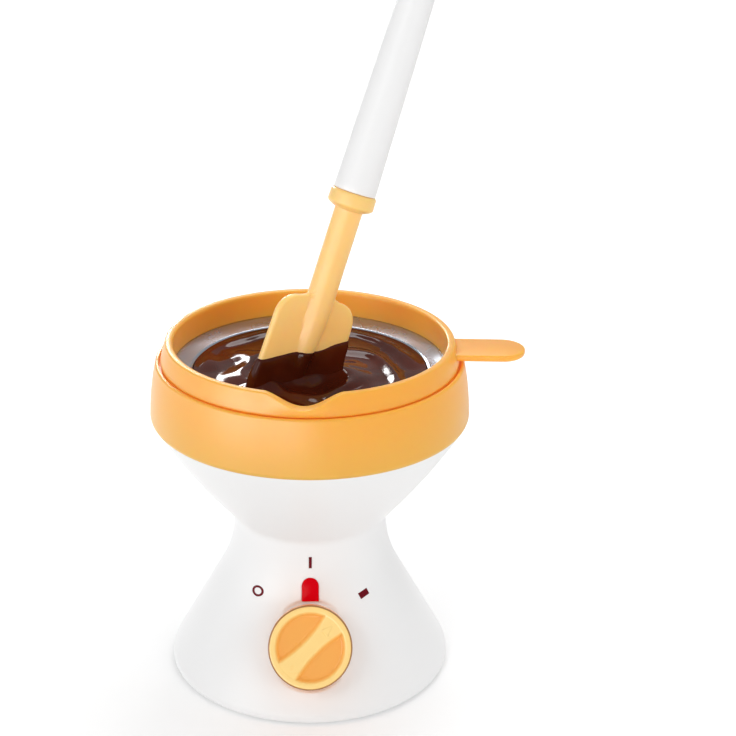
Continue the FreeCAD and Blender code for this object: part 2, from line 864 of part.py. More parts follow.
def stand_spatula(item):
    """Put a piece drawn with the spatula's length along Z into the pot."""
    item.Placement = FreeCAD.Placement(FreeCAD.Vector(), spatula_rotation())
    bind(item, "Placement.Base.x", tip_x)
    bind(item, "Placement.Base.y", tip_y)
    bind(item, "Placement.Base.z", pot_floor + d.tip_above_floor)
    return item


def make_chocolate():
    """Chocolate: fills the bowl to its level, with a slot where the blade stands."""
    gap = d.chocolate_gap
    level = rim_top - d.chocolate_drop - gap
    wall_foot = pot_floor + d.bowl_wall_rise
    fill = turned("chocolate_fill", [
        (0, pot_floor + gap), (bowl_floor_radius, pot_floor + gap),
        (bowl_wall_radius - gap, wall_foot, d.bowl_floor_arc, 1),
        (bowl_mouth_radius - gap, level), (0, level)])
    slot = new_body("blade_slot")
    pad(slot, "blade_slot", slot_outline(), -(d.blade_thickness / 2) - d.blade_gap,
        d.blade_thickness + d.blade_gap * 2, role="XZ_Plane")
    stand_spatula(slot)
    spine = stand_spatula(cylinder("spine_slot", d.shaft_width / 2 + d.blade_gap, d.blade_length))
    return cut("melted_chocolate", fill, fuse("blade_room", [slot, spine]))


def make_spatula_head():
    """Blade with a spine that fades to the tip, shaft and grip collar in one piece."""
    body = new_body("spatula_head")
    half = d.shaft_width / 2
    pad(body, "blade", blade_outline(), -(d.blade_thickness / 2),
        d.blade_thickness, role="XZ_Plane")
    collar_top_end = d.shaft_end + d.grip_collar_length
    revolve(body, "shaft", [
        (0, d.spine_start), (d.spine_tip_radius, d.spine_start), (half, d.blade_length),
        (half, d.shaft_end), (d.grip_collar_radius, d.shaft_end + 1.5),
        (d.grip_collar_radius, collar_top_end), (d.tang_radius, collar_top_end),
        (d.tang_radius, collar_top_end + d.tang_length), (0, collar_top_end + d.tang_length)])
    return stand_spatula(body)


def make_spatula_handle():
    """White grip: tapers to a round end, with a bore for the tang."""
    foot = d.shaft_end + d.grip_collar_length
    top = foot + d.grip_length
    bore = d.tang_radius + d.running_fit
    body = turned("spatula_handle", [
        (bore, foot), (d.grip_base_radius, foot), (d.grip_end_radius, top - d.grip_end_radius),
        (0, top, d.grip_end_radius, 1), (0, foot + d.tang_length + 1),
        (bore, foot + d.tang_length + 1)])
    return stand_spatula(body)


def make_knob():
    """Knob: round cap with a dished face, a diagonal ridge and a hub on the shaft."""
    foot = d.knob_gap - d.recess_depth
    top = d.knob_top
    dish = top - d.knob_dish
    inner = d.knob_radius - d.knob_wall
    bore = d.shaft_radius + d.running_fit
    body = new_body("knob")
    revolve(body, "knob_cap", [
        (0, dish), (d.knob_radius - d.knob_rim - 1.5, dish), (d.knob_radius - d.knob_rim, top),
        (d.knob_radius - 1, top), (d.knob_radius, top - 1, 1.0, -1), (d.knob_radius, foot),
        (inner, foot), (inner, top - d.knob_crown - d.knob_dish),
        (d.hub_radius, top - d.knob_crown - d.knob_dish), (d.hub_radius, d.hub_start),
        (bore, d.hub_start), (bore, d.shaft_top + 0.2), (0, d.shaft_top + 0.2)])
    reach = d.knob_radius - d.knob_rim
    pad(body, "knob_ridge", slanted(rectangle(d.ridge_width, reach * 2), d.ridge_angle), dish - 0.5,
        d.knob_dish + 0.3)
    y, z = on_knob_axis(as_size(0))
    return place(body, 0, y, z, tilt=knob_tilt)


def on_switch(item):
    """Put a piece drawn along Z on the knob's axis."""
    y, z = on_knob_axis(as_size(0))
    return place(item, 0, y, z, tilt=knob_tilt)


def make_switch():
    """Rotary switch: body behind the pad, bushing through it, nut in front, blades behind."""
    pad_back = -(d.recess_depth + d.pad_wall)
    seat = -d.recess_depth
    bore = d.shaft_radius + d.running_fit
    back = pad_back - d.switch_depth
    chamber = pad_back - 3
    rotor_foot = chamber - d.rotor_thickness - 0.6
    body = new_body("switch_body")
    pad(body, "switch_case", rectangle(d.switch_width, d.switch_width), back, d.switch_depth)
    revolve(body, "switch_bushing", [
        (bore, pad_back - 1), (d.bushing_radius, pad_back - 1),
        (d.bushing_radius, d.nut_thickness + seat + 0.6), (bore, d.nut_thickness + seat + 0.6)])
    revolve(body, "switch_bore", [
        (0, rotor_foot), (d.rotor_radius + 0.3, rotor_foot), (d.rotor_radius + 0.3, chamber),
        (bore, chamber), (bore, pad_back + 1), (0, pad_back + 1)], kind="PartDesign::Groove")
    pieces = [on_switch(body)]
    nut = new_body("switch_nut")
    pad(nut, "switch_nut", hexagon(d.nut_radius), seat, d.nut_thickness)
    pocket(nut, "switch_nut_bore", circle_outline(d.bushing_radius + d.running_fit),
           seat + d.nut_thickness, d.nut_thickness)
    pieces.append(on_switch(nut))
    blades = []
    for number, side in enumerate((-1, 0, 1), start=1):
        blade = new_body(f"switch_blade_{number}")
        outline = rectangle(d.blade_wide, d.blade_thick, d.blade_spread * side, -d.blade_offset)
        pad(blade, f"switch_blade_{number}", outline, back - d.blade_reach, d.blade_reach)
        blades.append(on_switch(blade))
    pieces.append(group("switch_terminals", blades))
    shaft_foot = rotor_foot + 0.3
    shaft = turned("switch_shaft", [
        (0, shaft_foot + d.rotor_thickness), (d.shaft_radius, shaft_foot + d.rotor_thickness),
        (d.shaft_radius, d.shaft_top - 0.5), (d.shaft_radius - 0.5, d.shaft_top), (0, d.shaft_top)])
    pieces.append(on_switch(shaft))
    rotor = turned("switch_rotor", [
        (0, shaft_foot), (d.rotor_radius, shaft_foot),
        (d.rotor_radius, shaft_foot + d.rotor_thickness), (0, shaft_foot + d.rotor_thickness)])
    pieces.append(on_switch(rotor))
    return pieces


def make_knob_clip():
    """Spring clip round the hub that holds the knob on its shaft."""
    clip = turned("knob_clip", [
        (d.hub_radius + d.running_fit, d.hub_start + 0.4),
        (d.hub_radius + d.running_fit + d.clip_thickness, d.hub_start + 0.4),
        (d.hub_radius + d.running_fit + d.clip_thickness, d.hub_start + 0.4 + d.clip_width),
        (d.hub_radius + d.running_fit, d.hub_start + 0.4 + d.clip_width)])
    return on_switch(clip)


def hexagon(radius):
    """Corners of a hexagon."""
    return [at_angle(radius, angle) for angle in around(6)]


def circle_outline(radius):
    """A circle as two half turns drawn in four quarter arcs."""
    return [(radius, 0, radius, 1), (0, radius, radius, 1), (-radius, 0, radius, 1), (0, -radius, radius, 1)]


def make_lens():
    """Red lens in its window, with a flange behind the wall and the lamp behind it."""
    lens = new_body("indicator_lens")
    pad(lens, "lens", tombstone(as_size(0)), -d.lens_depth, d.lens_depth + d.lens_proud)
    back = -d.lens_depth
    pad(lens, "lens_flange", tombstone(as_size(1.2)), back - d.lens_flange, d.lens_flange)
    place(lens, 0, lens_y, d.lens_height, tilt=d.lens_tilt)
    holder_top = back - d.lens_flange
    holder = new_body("lamp_holder")
    pad(holder, "lamp_holder", tombstone(as_size(1.2)), holder_top - d.lamp_length - 1.5, d.lamp_length + 1.5)
    pocket(holder, "lamp_room", circle_outline(d.lamp_radius + d.loose_fit), holder_top, d.lamp_length)
    place(holder, 0, lens_y, d.lens_height, tilt=d.lens_tilt)
    lamp_foot = holder_top - d.lamp_length
    lamp = turned("neon_lamp", [
        (0, lamp_foot), (d.lamp_radius, lamp_foot), (d.lamp_radius, holder_top - d.lamp_radius - 0.4),
        (0, holder_top - 0.4, d.lamp_radius, 1)])
    place(lamp, 0, lens_y, d.lens_height, tilt=d.lens_tilt)
    return [lens, holder, lamp]


def make_cover():
    """Bottom cover with holes for screws and feet and posts for the cord clamp."""
    radius = heel_radius - d.housing_wall - d.cover_gap
    disc = cylinder("cover_disc", radius, d.cover_thickness)
    place(disc, 0, 0, d.cover_height)
    holes = []
    for number, angle in enumerate(around(BOLTS, BOLT_START), start=1):
        x, y = at_angle(boss_circle, angle)
        hole = cylinder(f"cover_screw_hole_{number}", d.screw_radius + d.loose_fit, d.cover_thickness + 2)
        holes.append(place(hole, x, y, d.cover_height - 1))
    for number, angle in enumerate(around(FEET, FOOT_START), start=1):
        x, y = at_angle(foot_circle, angle)
        hole = cylinder(f"cover_foot_hole_{number}", d.foot_stem + d.running_fit, d.cover_thickness + 2)
        holes.append(place(hole, x, y, d.cover_height - 1))
    posts = []
    for number, side in enumerate((-1, 1), start=1):
        post = cylinder(f"clamp_post_{number}", d.clamp_post_radius, clamp_foot - cover_top)
        posts.append(place(post, d.clamp_post_spread * side, clamp_y, cover_top))
        hole = cylinder(f"clamp_post_hole_{number}", d.screw_radius + d.running_fit, d.screw_length)
        holes.append(place(hole, d.clamp_post_spread * side, clamp_y, clamp_foot - d.screw_length + 2))
    whole = fuse("cover_form", [disc] + posts)
    return cut("bottom_cover", whole, fuse("cover_holes", holes))


clamp_y = gland_seat - d.housing_wall - d.clamp_reach
clamp_foot = d.gland_height + d.gland_bore


def make_feet():
    """Four rubber feet pressed into the cover."""
    feet = []
    for number, angle in enumerate(around(FEET, FOOT_START), start=1):
        foot = turned(f"foot_{number}", [
            (0, 0), (d.foot_radius - 0.8, 0), (d.foot_radius, 0.8, 0.8, 1),
            (d.foot_radius, d.cover_height), (d.foot_stem, d.cover_height), (d.foot_stem, cover_top),
            (d.foot_bulb, cover_top), (d.foot_stem - 0.6, cover_top + d.foot_bulb_height),
            (0, cover_top + d.foot_bulb_height)])
        x, y = at_angle(foot_circle, angle)
        feet.append(place(foot, x, y, 0))
    return feet


def make_screws():
    """Screws of the bottom cover, the heater support, the cord clamp and the thermostat."""
    cover_screws = []
    support_screws = []
    for number, angle in enumerate(around(BOLTS, BOLT_START), start=1):
        x, y = at_angle(boss_circle, angle)
        item = screw(f"bottom_screw_{number}", d.screw_length)
        cover_screws.append(place(item, x, y, d.cover_height))
        x, y = at_angle(support_bolts, angle)
        item = screw(f"support_screw_{number}", d.support_screw_length)
        support_screws.append(place(item, x, y, support_top, tilt=180))
    clamp_screws = []
    bracket_screws = []
    for number, side in enumerate((-1, 1), start=1):
        item = screw(f"clamp_screw_{number}", d.screw_length - 2)
        place(item, d.clamp_post_spread * side, clamp_y, clamp_foot + d.clamp_thickness, tilt=180)
        clamp_screws.append(item)
        item = screw(f"bracket_screw_{number}", bracket_drop + 3)
        place(item, bracket_bolts * side, 0, plate_foot - bracket_drop)
        bracket_screws.append(item)
    return [group("bottom_screws", cover_screws), group("support_screws", support_screws),
            group("cord_clamp_screws", clamp_screws), group("thermostat_screws", bracket_screws)]


bracket_drop = d.thermostat_plate * 2
bracket_bolts = d.bracket_length / 2 - 3


def make_inlet():
    """Cord gland in the rear recess, the clamp bar behind it and the terminal block."""
    seat = gland_seat
    wall = d.housing_wall
    gland = turned("cord_gland", [
        (d.gland_bore, -wall - d.gland_inner), (d.gland_body_radius + 1, -wall - d.gland_inner),
        (d.gland_body_radius + 1, -wall), (d.gland_body_radius, -wall), (d.gland_body_radius, 0),
        (d.gland_flange_radius, 0), (d.gland_flange_radius - 1, d.gland_flange),
        (d.gland_bore, d.gland_flange)])
    place(gland, 0, seat, d.gland_height, tilt=-90)
    bar = box("clamp_bar", d.clamp_length, d.clamp_width, d.clamp_thickness)
    place(bar, -(d.clamp_length / 2), clamp_y - d.clamp_width / 2, clamp_foot)
    holes = []
    for number, side in enumerate((-1, 1), start=1):
        hole = cylinder(f"clamp_hole_{number}", d.screw_radius + d.loose_fit, d.clamp_thickness + 2)
        holes.append(place(hole, d.clamp_post_spread * side, clamp_y, clamp_foot - 1))
    clamp = cut("cord_clamp", bar, fuse("clamp_holes", holes))
    block = box("block_form", d.block_length, d.block_width, d.block_height)
    place(block, -(d.block_length / 2), d.block_y - d.block_width / 2, cover_top)
    pit_depth = d.block_height / 2 - 0.5
    pits = []
    heads = []
    for number, side in enumerate((-1, 0, 1), start=1):
        x = d.block_length / 3 * side
        pit = cylinder(f"block_pit_{number}", d.block_screw_radius + d.loose_fit, pit_depth + 1)
        pits.append(place(pit, x, d.block_y, cover_top + d.block_height - pit_depth))
        head = cylinder(f"block_screw_{number}", d.block_screw_radius, pit_depth - 1)
        heads.append(place(head, x, d.block_y, cover_top + d.block_height - pit_depth))
    terminal_block = cut("terminal_block", block, fuse("block_pits", pits))
    return [gland, clamp, terminal_block, group("terminal_screws", heads)]


def make_heater():
    """Support ring, gasket, plate, element, thermostat, fuse and shield under the pot."""
    lip_inner = plate_radius + 1
    support = turned("support_ring_form", [
        (support_bore, support_foot), (support_radius, support_foot), (support_radius, support_top),
        (lip_inner + d.support_thickness, support_top),
        (lip_inner + d.support_thickness, support_top + d.support_lip),
        (lip_inner, support_top + d.support_lip), (lip_inner, support_top), (support_bore, support_top)])
    holes = []
    for number, angle in enumerate(around(BOLTS, BOLT_START), start=1):
        x, y = at_angle(support_bolts, angle)
        hole = cylinder(f"support_hole_{number}", d.screw_radius + d.loose_fit, d.support_thickness + 2)
        holes.append(place(hole, x, y, support_foot - 1))
    ring = cut("support_ring", support, fuse("support_holes", holes))
    gasket = turned("plate_gasket", [
        (plate_radius - 0.5 - d.gasket_width, support_top), (plate_radius - 0.5, support_top),
        (plate_radius - 0.5, plate_foot), (plate_radius - 0.5 - d.gasket_width, plate_foot)])
    disc = cylinder("plate_disc", plate_radius, d.plate_thickness)
    place(disc, 0, 0, plate_foot)
    element_height = plate_foot - d.element_sink
    groove = torus("element_groove", d.element_radius + d.running_fit, as_size(FULL_TURN), element_height)
    cuts = [groove]
    for number, side in enumerate((-1, 1), start=1):
        hole = cylinder(f"plate_hole_{number}", d.screw_radius + d.running_fit, 3.4)
        cuts.append(place(hole, bracket_bolts * side, 0, plate_foot - 0.2))
    plate = cut("heating_plate", disc, fuse("plate_cuts", cuts))
    element = torus("heating_element", d.element_radius, d.element_sweep, element_height)
    pins = []
    beside = slope_angle(d.element_pin_radius + d.running_fit, element_circle)
    for number, angle in enumerate((-beside, d.element_sweep + beside), start=1):
        x, y = at_angle(element_circle, angle)
        pin = cylinder(f"element_pin_{number}", d.element_pin_radius, d.element_pin_length)
        top = element_height - d.element_pin_length
        pins.append(place(pin, x, y, top))
    return [ring, gasket, plate, element, group("element_terminals", pins)]


def torus(name, radius, sweep, height):
    """A ring of round tube under the plate, open where the sweep ends."""
    item = document.addObject("Part::Torus", name)
    bind(item, "Radius1", element_circle)
    bind(item, "Radius2", radius)
    bind(item, "Angle3", sweep)
    return place(item, 0, 0, height)


def make_thermostat():
    """Bimetal thermostat held to the plate by a bar, and a thermal fuse in its holder."""
    flange_foot = plate_foot - d.thermostat_plate
    thermostat = turned("thermostat", [
        (0, flange_foot - d.thermostat_height), (d.thermostat_radius, flange_foot - d.thermostat_height),
        (d.thermostat_radius, flange_foot), (d.thermostat_flange, flange_foot),
        (d.thermostat_flange, plate_foot), (0, plate_foot)])
    bar = box("bracket_bar", d.bracket_length, d.bracket_width, d.thermostat_plate)
    place(bar, -(d.bracket_length / 2), -(d.bracket_width / 2), plate_foot - bracket_drop)
    holes = [place(cylinder("bracket_ring_hole", d.thermostat_radius + d.loose_fit, 4), 0, 0,
                   plate_foot - bracket_drop - 1)]
    ears = box("bracket_round", d.thermostat_flange * 2, d.thermostat_flange * 2, d.thermostat_plate)
    place(ears, -d.thermostat_flange, -d.thermostat_flange, plate_foot - bracket_drop)
    for number, side in enumerate((-1, 1), start=1):
        hole = cylinder(f"bracket_hole_{number}", d.screw_radius + d.loose_fit, 4)
        holes.append(place(hole, bracket_bolts * side, 0, plate_foot - bracket_drop - 1))
    bracket = cut("thermostat_bracket", fuse("bracket_form", [bar, ears]), fuse("bracket_holes", holes))
    fuse_height = plate_foot - d.fuse_radius - d.fuse_wall
    fuse_body = cylinder("thermal_fuse", d.fuse_radius, d.fuse_length)
    fuse_body.Placement = FreeCAD.Placement(FreeCAD.Vector(), FreeCAD.Rotation(FreeCAD.Vector(0, 1, 0), 90))
    bind(fuse_body, "Placement.Base.x", -(d.fuse_length / 2))
    bind(fuse_body, "Placement.Base.y", fuse_offset)
    bind(fuse_body, "Placement.Base.z", fuse_height)
    side_length = (d.fuse_radius + d.fuse_wall) * 2
    holder = box("fuse_holder_form", d.fuse_length / 2, side_length, side_length)
    place(holder, -(d.fuse_length / 4), fuse_offset - side_length / 2, plate_foot - side_length)
    bore = cylinder("fuse_bore", d.fuse_radius + d.running_fit, d.fuse_length)
    bore.Placement = fuse_body.Placement
    bind(bore, "Placement.Base.x", -(d.fuse_length / 2))
    bind(bore, "Placement.Base.y", fuse_offset)
    bind(bore, "Placement.Base.z", fuse_height)
    return [thermostat, bracket, fuse_body, cut("fuse_holder", holder, bore)]


def make_shield():
    """Thin heat shield below the heater, on three standoffs."""
    radius = funnel_radius(shield_top - d.shield_thickness) - d.support_gap * 2
    posts_circle = radius - d.shield_edge_inset
    shield = turned("heat_shield", [
        (d.shield_bore, shield_top - d.shield_thickness), (radius, shield_top - d.shield_thickness),
        (radius, shield_top), (d.shield_bore, shield_top)])
    posts = []
    for number, angle in enumerate(around(BOLTS, 0.0), start=1):
        x, y = at_angle(posts_circle, angle)
        post = cylinder(f"standoff_{number}", d.standoff_radius, d.shield_drop)
        posts.append(place(post, x, y, shield_top))
    return [shield, group("shield_standoffs", posts)]


def rounded_path(points, radius):
    """A wire of straight runs joined by tangent arcs."""
    edges = []
    start = points[0]
    for before, corner, after in zip(points, points[1:], points[2:]):
        inward = (before - corner).normalize()
        outward = (after - corner).normalize()
        half_angle = inward.getAngle(outward) / 2
        setback = radius / math.tan(half_angle)
        first = corner + inward * setback
        last = corner + outward * setback
        middle_way = (inward + outward).normalize()
        middle = corner + middle_way * (radius / math.sin(half_angle) - radius)
        edges.append(Part.LineSegment(start, first).toShape())
        edges.append(Part.Arc(first, middle, last).toShape())
        start = last
    edges.append(Part.LineSegment(start, points[-1]).toShape())
    return Part.Wire(edges)


def make_lead(name, points):
    """An insulated lead along a route of points, each given as three sizes."""
    route = [FreeCAD.Vector(*(as_size(value).value for value in point)) for point in points]
    path = rounded_path(route, d.lead_bend.value)
    ring = Part.Circle(route[0], route[1] - route[0], d.lead_radius.value)
    profile = Part.Wire(ring.toShape())
    lead = document.addObject("Part::Feature", name)
    lead.Shape = path.makePipeShell([profile], True, False)
    lead.Placement = FreeCAD.Placement()
    return lead


def make_leads():
    """Leads from the terminal block to the switch, the lamp and the heater."""
    exit_height = cover_top + d.block_height - d.lead_exit_drop
    third = d.block_length / 3
    edge = d.block_y - d.block_width / 2
    back = -(d.recess_depth + d.pad_wall + d.switch_depth + d.blade_reach)
    switch_y, switch_z = on_knob_axis(back)
    blade_y = switch_y - knob_up * d.blade_offset
    blade_z = switch_z - knob_out * d.blade_offset
    turn_y = blade_y + knob_out * d.lead_offset * 1.6
    turn_z = blade_z - knob_up * d.lead_offset * 1.6
    top = plate_foot - d.thermostat_height - d.thermostat_plate
    inner = edge - d.lead_step
    return [
        make_lead("live_lead", [
            (-third, edge, exit_height), (-third, edge - d.lead_reach, exit_height),
            (-d.blade_spread, turn_y, turn_z), (-d.blade_spread, blade_y, blade_z)]),
        make_lead("neutral_lead", [
            (0, edge, exit_height), (0, inner, exit_height), (0, inner, neck_top),
            (-d.lead_offset, d.lead_offset, neck_top + d.lead_rise),
            (-d.lead_offset, d.lead_offset, top)]),
        make_lead("earth_lead", [
            (third, edge, exit_height), (third, inner, exit_height),
            (d.earth_offset, d.earth_offset - 2, neck_top - d.lead_step),
            (d.earth_offset, d.earth_offset - 2, shield_top + 3),
            (d.lead_rise, d.earth_offset + 2, shield_top + d.lead_step),
            (d.lead_rise, d.earth_offset + 2, plate_foot)])]


pieces = [make_housing(), make_upper_shell(), make_collar(), make_pot_ring(), make_bowl(), make_chocolate(),
          make_spatula_head(), make_spatula_handle(), make_knob(), make_knob_clip(), make_cover()]
for maker in (make_switch, make_lens, make_feet, make_screws, make_inlet, make_heater, make_thermostat,
              make_shield, make_leads):
    pieces.extend(maker())

document.recompute()

faults = [f"{item.Name}: {item.State}" for item in document.Objects
          if "Invalid" in item.State or "Error" in item.State]
faults += [f"{item.Label}: bad shape" for item in pieces if item.Shape.isNull() or not item.Shape.isValid()]
if faults:
    raise RuntimeError("The model did not build: " + "; ".join(faults))

os.makedirs("parts", exist_ok=True)
for piece in pieces:
    piece.Shape.exportStep(f"parts/{piece.Label}.step")
print(f"{len(pieces)} pieces written")
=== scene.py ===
import math

import bpy
from mathutils import Matrix, Vector, noise


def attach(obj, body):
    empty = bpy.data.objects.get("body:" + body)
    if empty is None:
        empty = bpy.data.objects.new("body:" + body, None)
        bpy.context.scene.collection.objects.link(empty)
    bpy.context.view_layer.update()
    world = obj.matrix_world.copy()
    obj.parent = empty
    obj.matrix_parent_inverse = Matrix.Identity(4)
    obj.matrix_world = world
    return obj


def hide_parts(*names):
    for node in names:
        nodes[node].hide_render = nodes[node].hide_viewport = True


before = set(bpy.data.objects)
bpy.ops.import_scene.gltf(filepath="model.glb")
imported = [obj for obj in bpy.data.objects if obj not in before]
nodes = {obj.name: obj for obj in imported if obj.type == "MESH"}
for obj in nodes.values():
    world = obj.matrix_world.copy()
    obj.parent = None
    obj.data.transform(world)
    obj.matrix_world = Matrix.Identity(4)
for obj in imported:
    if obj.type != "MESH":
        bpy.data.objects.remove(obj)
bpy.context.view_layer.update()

MM = 0.001
FULL_TURN = 2 * math.pi


# Materials

def linear(code):
    """An sRGB hex colour as linear red, green, blue and alpha."""
    parts = [int(code[start:start + 2], 16) / 255 for start in (0, 2, 4)]
    return (*[part / 12.92 if part <= 0.04045 else ((part + 0.055) / 1.055) ** 2.4 for part in parts], 1.0)


def add(tree, kind, settings=None, links=None):
    """Add one node, give its properties and sockets their values, and link its inputs."""
    item = tree.nodes.new(kind)
    for name, value in (settings or {}).items():
        if isinstance(name, int) or name in item.inputs:
            item.inputs[name].default_value = value
        else:
            setattr(item, name, value)
    for name, socket in (links or {}).items():
        tree.links.new(socket, item.inputs[name])
    return item


def finish(name, light, dark, patch, rough, grain, relief, **uniform):
    """A moulded or rolled surface: two tones in soft patches, a roughness that drifts, and a fine grain.

    patch and grain are sizes in millimetres, relief is the grain's height in millimetres.
    """
    material = bpy.data.materials.new(name)
    material.use_nodes = True
    tree = material.node_tree
    shader = tree.nodes["Principled BSDF"]
    for socket, value in uniform.items():
        shader.inputs[socket.replace("_", " ")].default_value = value
    place = add(tree, "ShaderNodeTexCoord")
    patches = add(tree, "ShaderNodeTexNoise", {"Scale": 1000 / patch, "Detail": 3.0},
                  {"Vector": place.outputs["Object"]})
    tone = add(tree, "ShaderNodeMix", {"data_type": "RGBA", 6: linear(light), 7: linear(dark)},
               {0: patches.outputs["Fac"]})
    sheen = add(tree, "ShaderNodeMapRange",
                {"interpolation_type": "SMOOTHSTEP", "From Min": 0.2, "From Max": 0.8,
                 "To Min": rough[0], "To Max": rough[1]},
                {"Value": patches.outputs["Fac"]})
    grains = add(tree, "ShaderNodeTexNoise", {"Scale": 1000 / grain, "Detail": 2.0},
                 {"Vector": place.outputs["Object"]})
    bump = add(tree, "ShaderNodeBump", {"Strength": 0.6, "Distance": relief * MM},
               {"Height": grains.outputs["Fac"]})
    tree.links.new(tone.outputs[2], shader.inputs["Base Color"])
    tree.links.new(sheen.outputs["Result"], shader.inputs["Roughness"])
    tree.links.new(bump.outputs["Normal"], shader.inputs["Normal"])
    return material


# ABS, injection moulded and polished: bright white with soft, wide highlights
white_abs = finish("white_abs", "f8f8f8", "f6f6f6", 40, (0.3, 0.34), 1.6, 0.004, Specular_IOR_Level=0.12)
# Polypropylene, moulded in the mass: warm orange. It scatters light inside, and its emission is painted
# light:
# a faint orange glow of its own that brightens it where the lamps do not
orange_pp = finish("orange_pp", "ffb344", "ffaf40", 24, (0.4, 0.46), 1.2, 0.006, Subsurface_Weight=0.55,
                   Subsurface_Radius=(0.012, 0.005, 0.0006), Subsurface_Scale=1.0, Specular_IOR_Level=0.25,
                   Coat_Weight=0.8, Coat_Roughness=0.4, Emission_Color=linear("ff8c1c"),
                   Emission_Strength=0.08)
# ABS knob with a satin face, and a painted orange glow as emission. Further down its colour is painted by
# height:
# a painted highlight on the rim and ridge, painted shade in the dishes and a painted brown shadow round the
# outer edge
knob_abs = finish("knob_abs", "f9b860", "f5ac4c", 12, (0.26, 0.34), 0.9, 0.008, Specular_IOR_Level=0.3,
                  Coat_Weight=0.3, Coat_Roughness=0.3, Emission_Color=linear("ff9c30"),
                  Emission_Strength=0.07)
# Acrylic, red all through, clear and glossy over a lamp
red_acrylic = finish("red_acrylic", "d80014", "c80010", 6, (0.12, 0.18), 0.8, 0.004, Specular_IOR_Level=0.04,
                     Emission_Color=linear("ff1008"), Emission_Strength=0.05)
# Pad-printed ink, matt and thin
mark_ink = finish("mark_ink", "720c1c", "600a18", 3, (0.5, 0.6), 0.5, 0.006, Specular_IOR_Level=0.1)
# Stainless steel, spun and brushed in circles: a pale streaked ring of reflections
bowl_steel = finish("bowl_steel", "b6bec9", "abb3be", 14, (0.2, 0.3), 1.0, 0.006, Metallic=1.0)
# Melted dark chocolate: nearly black, wet, with a red-brown tone where the spatula has stirred it thin
melted = finish("melted", "6a2610", "0e0402", 28, (0.08, 0.13), 5.0, 0.006, Specular_IOR_Level=0.12,
                Coat_Weight=0.2, Coat_Roughness=0.03)
# Nylon for hot food, moulded: soft satin orange, with a painted glow of its own colour as emission, as above
spatula_nylon = finish("spatula_nylon", "ffd284", "ffcc7c", 18, (0.36, 0.42), 1.0, 0.008,
                       Subsurface_Weight=0.5, Subsurface_Radius=(0.01, 0.005, 0.0012), Subsurface_Scale=1.0,
                       Specular_IOR_Level=0.3, Coat_Weight=0.6, Coat_Roughness=0.4,
                       Emission_Color=linear("ffb058"), Emission_Strength=0.12)
# ABS tube of the grip, polished white
grip_abs = finish("grip_abs", "fafafa", "f8f8f8", 22, (0.28, 0.32), 1.4, 0.004, Specular_IOR_Level=0.3)
# Grey ABS of the cover under the base, spark-eroded matt
grey_abs = finish("grey_abs", "b9bbbd", "adb0b2", 16, (0.48, 0.58), 0.7, 0.03)
# Rubber of the feet: dull black with a dusty bloom
foot_rubber = finish("foot_rubber", "2b2b2c", "1f1f20", 4, (0.65, 0.8), 0.4, 0.03)
# Black polyamide of the switch and the cord parts
black_polyamide = finish("black_polyamide", "242526", "1b1c1d", 8, (0.4, 0.52), 0.5, 0.02)
# Terminal strip of pale polyamide, faintly waxy
pale_polyamide = finish("pale_polyamide", "e6e2d6", "dcd7c8", 9, (0.38, 0.48), 0.6, 0.015)
# Zinc-plated steel: bluish bright with cloudy patches
zinc_steel = finish("zinc_steel", "c6cacf", "aeb4ba", 3, (0.25, 0.4), 0.5, 0.01, Metallic=1.0)
# Brass contacts, stamped
contact_brass = finish("contact_brass", "d8b25c", "c59c45", 3, (0.22, 0.34), 0.4, 0.008, Metallic=1.0)
# Cast and faced aluminium of the heating plate
plate_aluminium = finish("plate_aluminium", "c9cccf", "b7babd", 9, (0.3, 0.45), 0.8, 0.02, Metallic=1.0)
# Silicone of the gasket, soft dull red
gasket_silicone = finish("gasket_silicone", "b4563f", "a54c37", 7, (0.5, 0.6), 0.6, 0.02)
# Oxidised steel sheath of the heating element
sheath_steel = finish("sheath_steel", "6f6a66", "57524f", 5, (0.4, 0.55), 0.5, 0.02, Metallic=1.0)
# Phenolic disc of the thermostat, dark brown and hard
phenolic = finish("phenolic", "3b2418", "2e1b12", 6, (0.3, 0.42), 0.5, 0.012)
# Ceramic holder, unglazed
white_ceramic = finish("white_ceramic", "efebe2", "e5e0d4", 7, (0.55, 0.68), 0.5, 0.02)
# Tinned case of the thermal fuse
fuse_metal = finish("fuse_metal", "d7d3c8", "c4c0b4", 3, (0.25, 0.35), 0.4, 0.008, Metallic=1.0)
# Glass of the neon lamp, greyish and smooth
lamp_glass = finish("lamp_glass", "f1d9c8", "ead0bd", 4, (0.03, 0.06), 0.8, 0.002,
                    Transmission_Weight=0.8, IOR=1.5)
# PVC sleeves of the leads
brown_pvc = finish("brown_pvc", "6b3a22", "5e321d", 5, (0.35, 0.45), 0.5, 0.01)
blue_pvc = finish("blue_pvc", "2f63b0", "28579e", 5, (0.35, 0.45), 0.5, 0.01)
green_pvc = finish("green_pvc", "4c9a3f", "418a35", 5, (0.35, 0.45), 0.5, 0.01)

# What each slot of the record is finished with
slot_finish = {
    "white_plastic": white_abs, "orange_plastic": orange_pp, "knob_plastic": knob_abs,
    "red_lens": red_acrylic, "bowl_steel": bowl_steel, "chocolate": melted,
    "spatula_nylon": spatula_nylon, "grip_plastic": grip_abs,
    "grey_plastic": grey_abs, "foot_rubber": foot_rubber, "black_plastic": black_polyamide,
    "terminal_nylon": pale_polyamide, "zinc_steel": zinc_steel, "contact_brass": contact_brass,
    "lamp_glass": lamp_glass, "plate_aluminium": plate_aluminium, "silicone": gasket_silicone,
    "element_steel": sheath_steel, "phenolic": phenolic, "white_ceramic": white_ceramic,
    "fuse_metal": fuse_metal, "brown_lead": brown_pvc, "blue_lead": blue_pvc, "green_lead": green_pvc,
}
for node in nodes.values():
    for holder in node.material_slots:
        holder.material = slot_finish[holder.material.name.split(".")[0]]


# Ways of making a piece

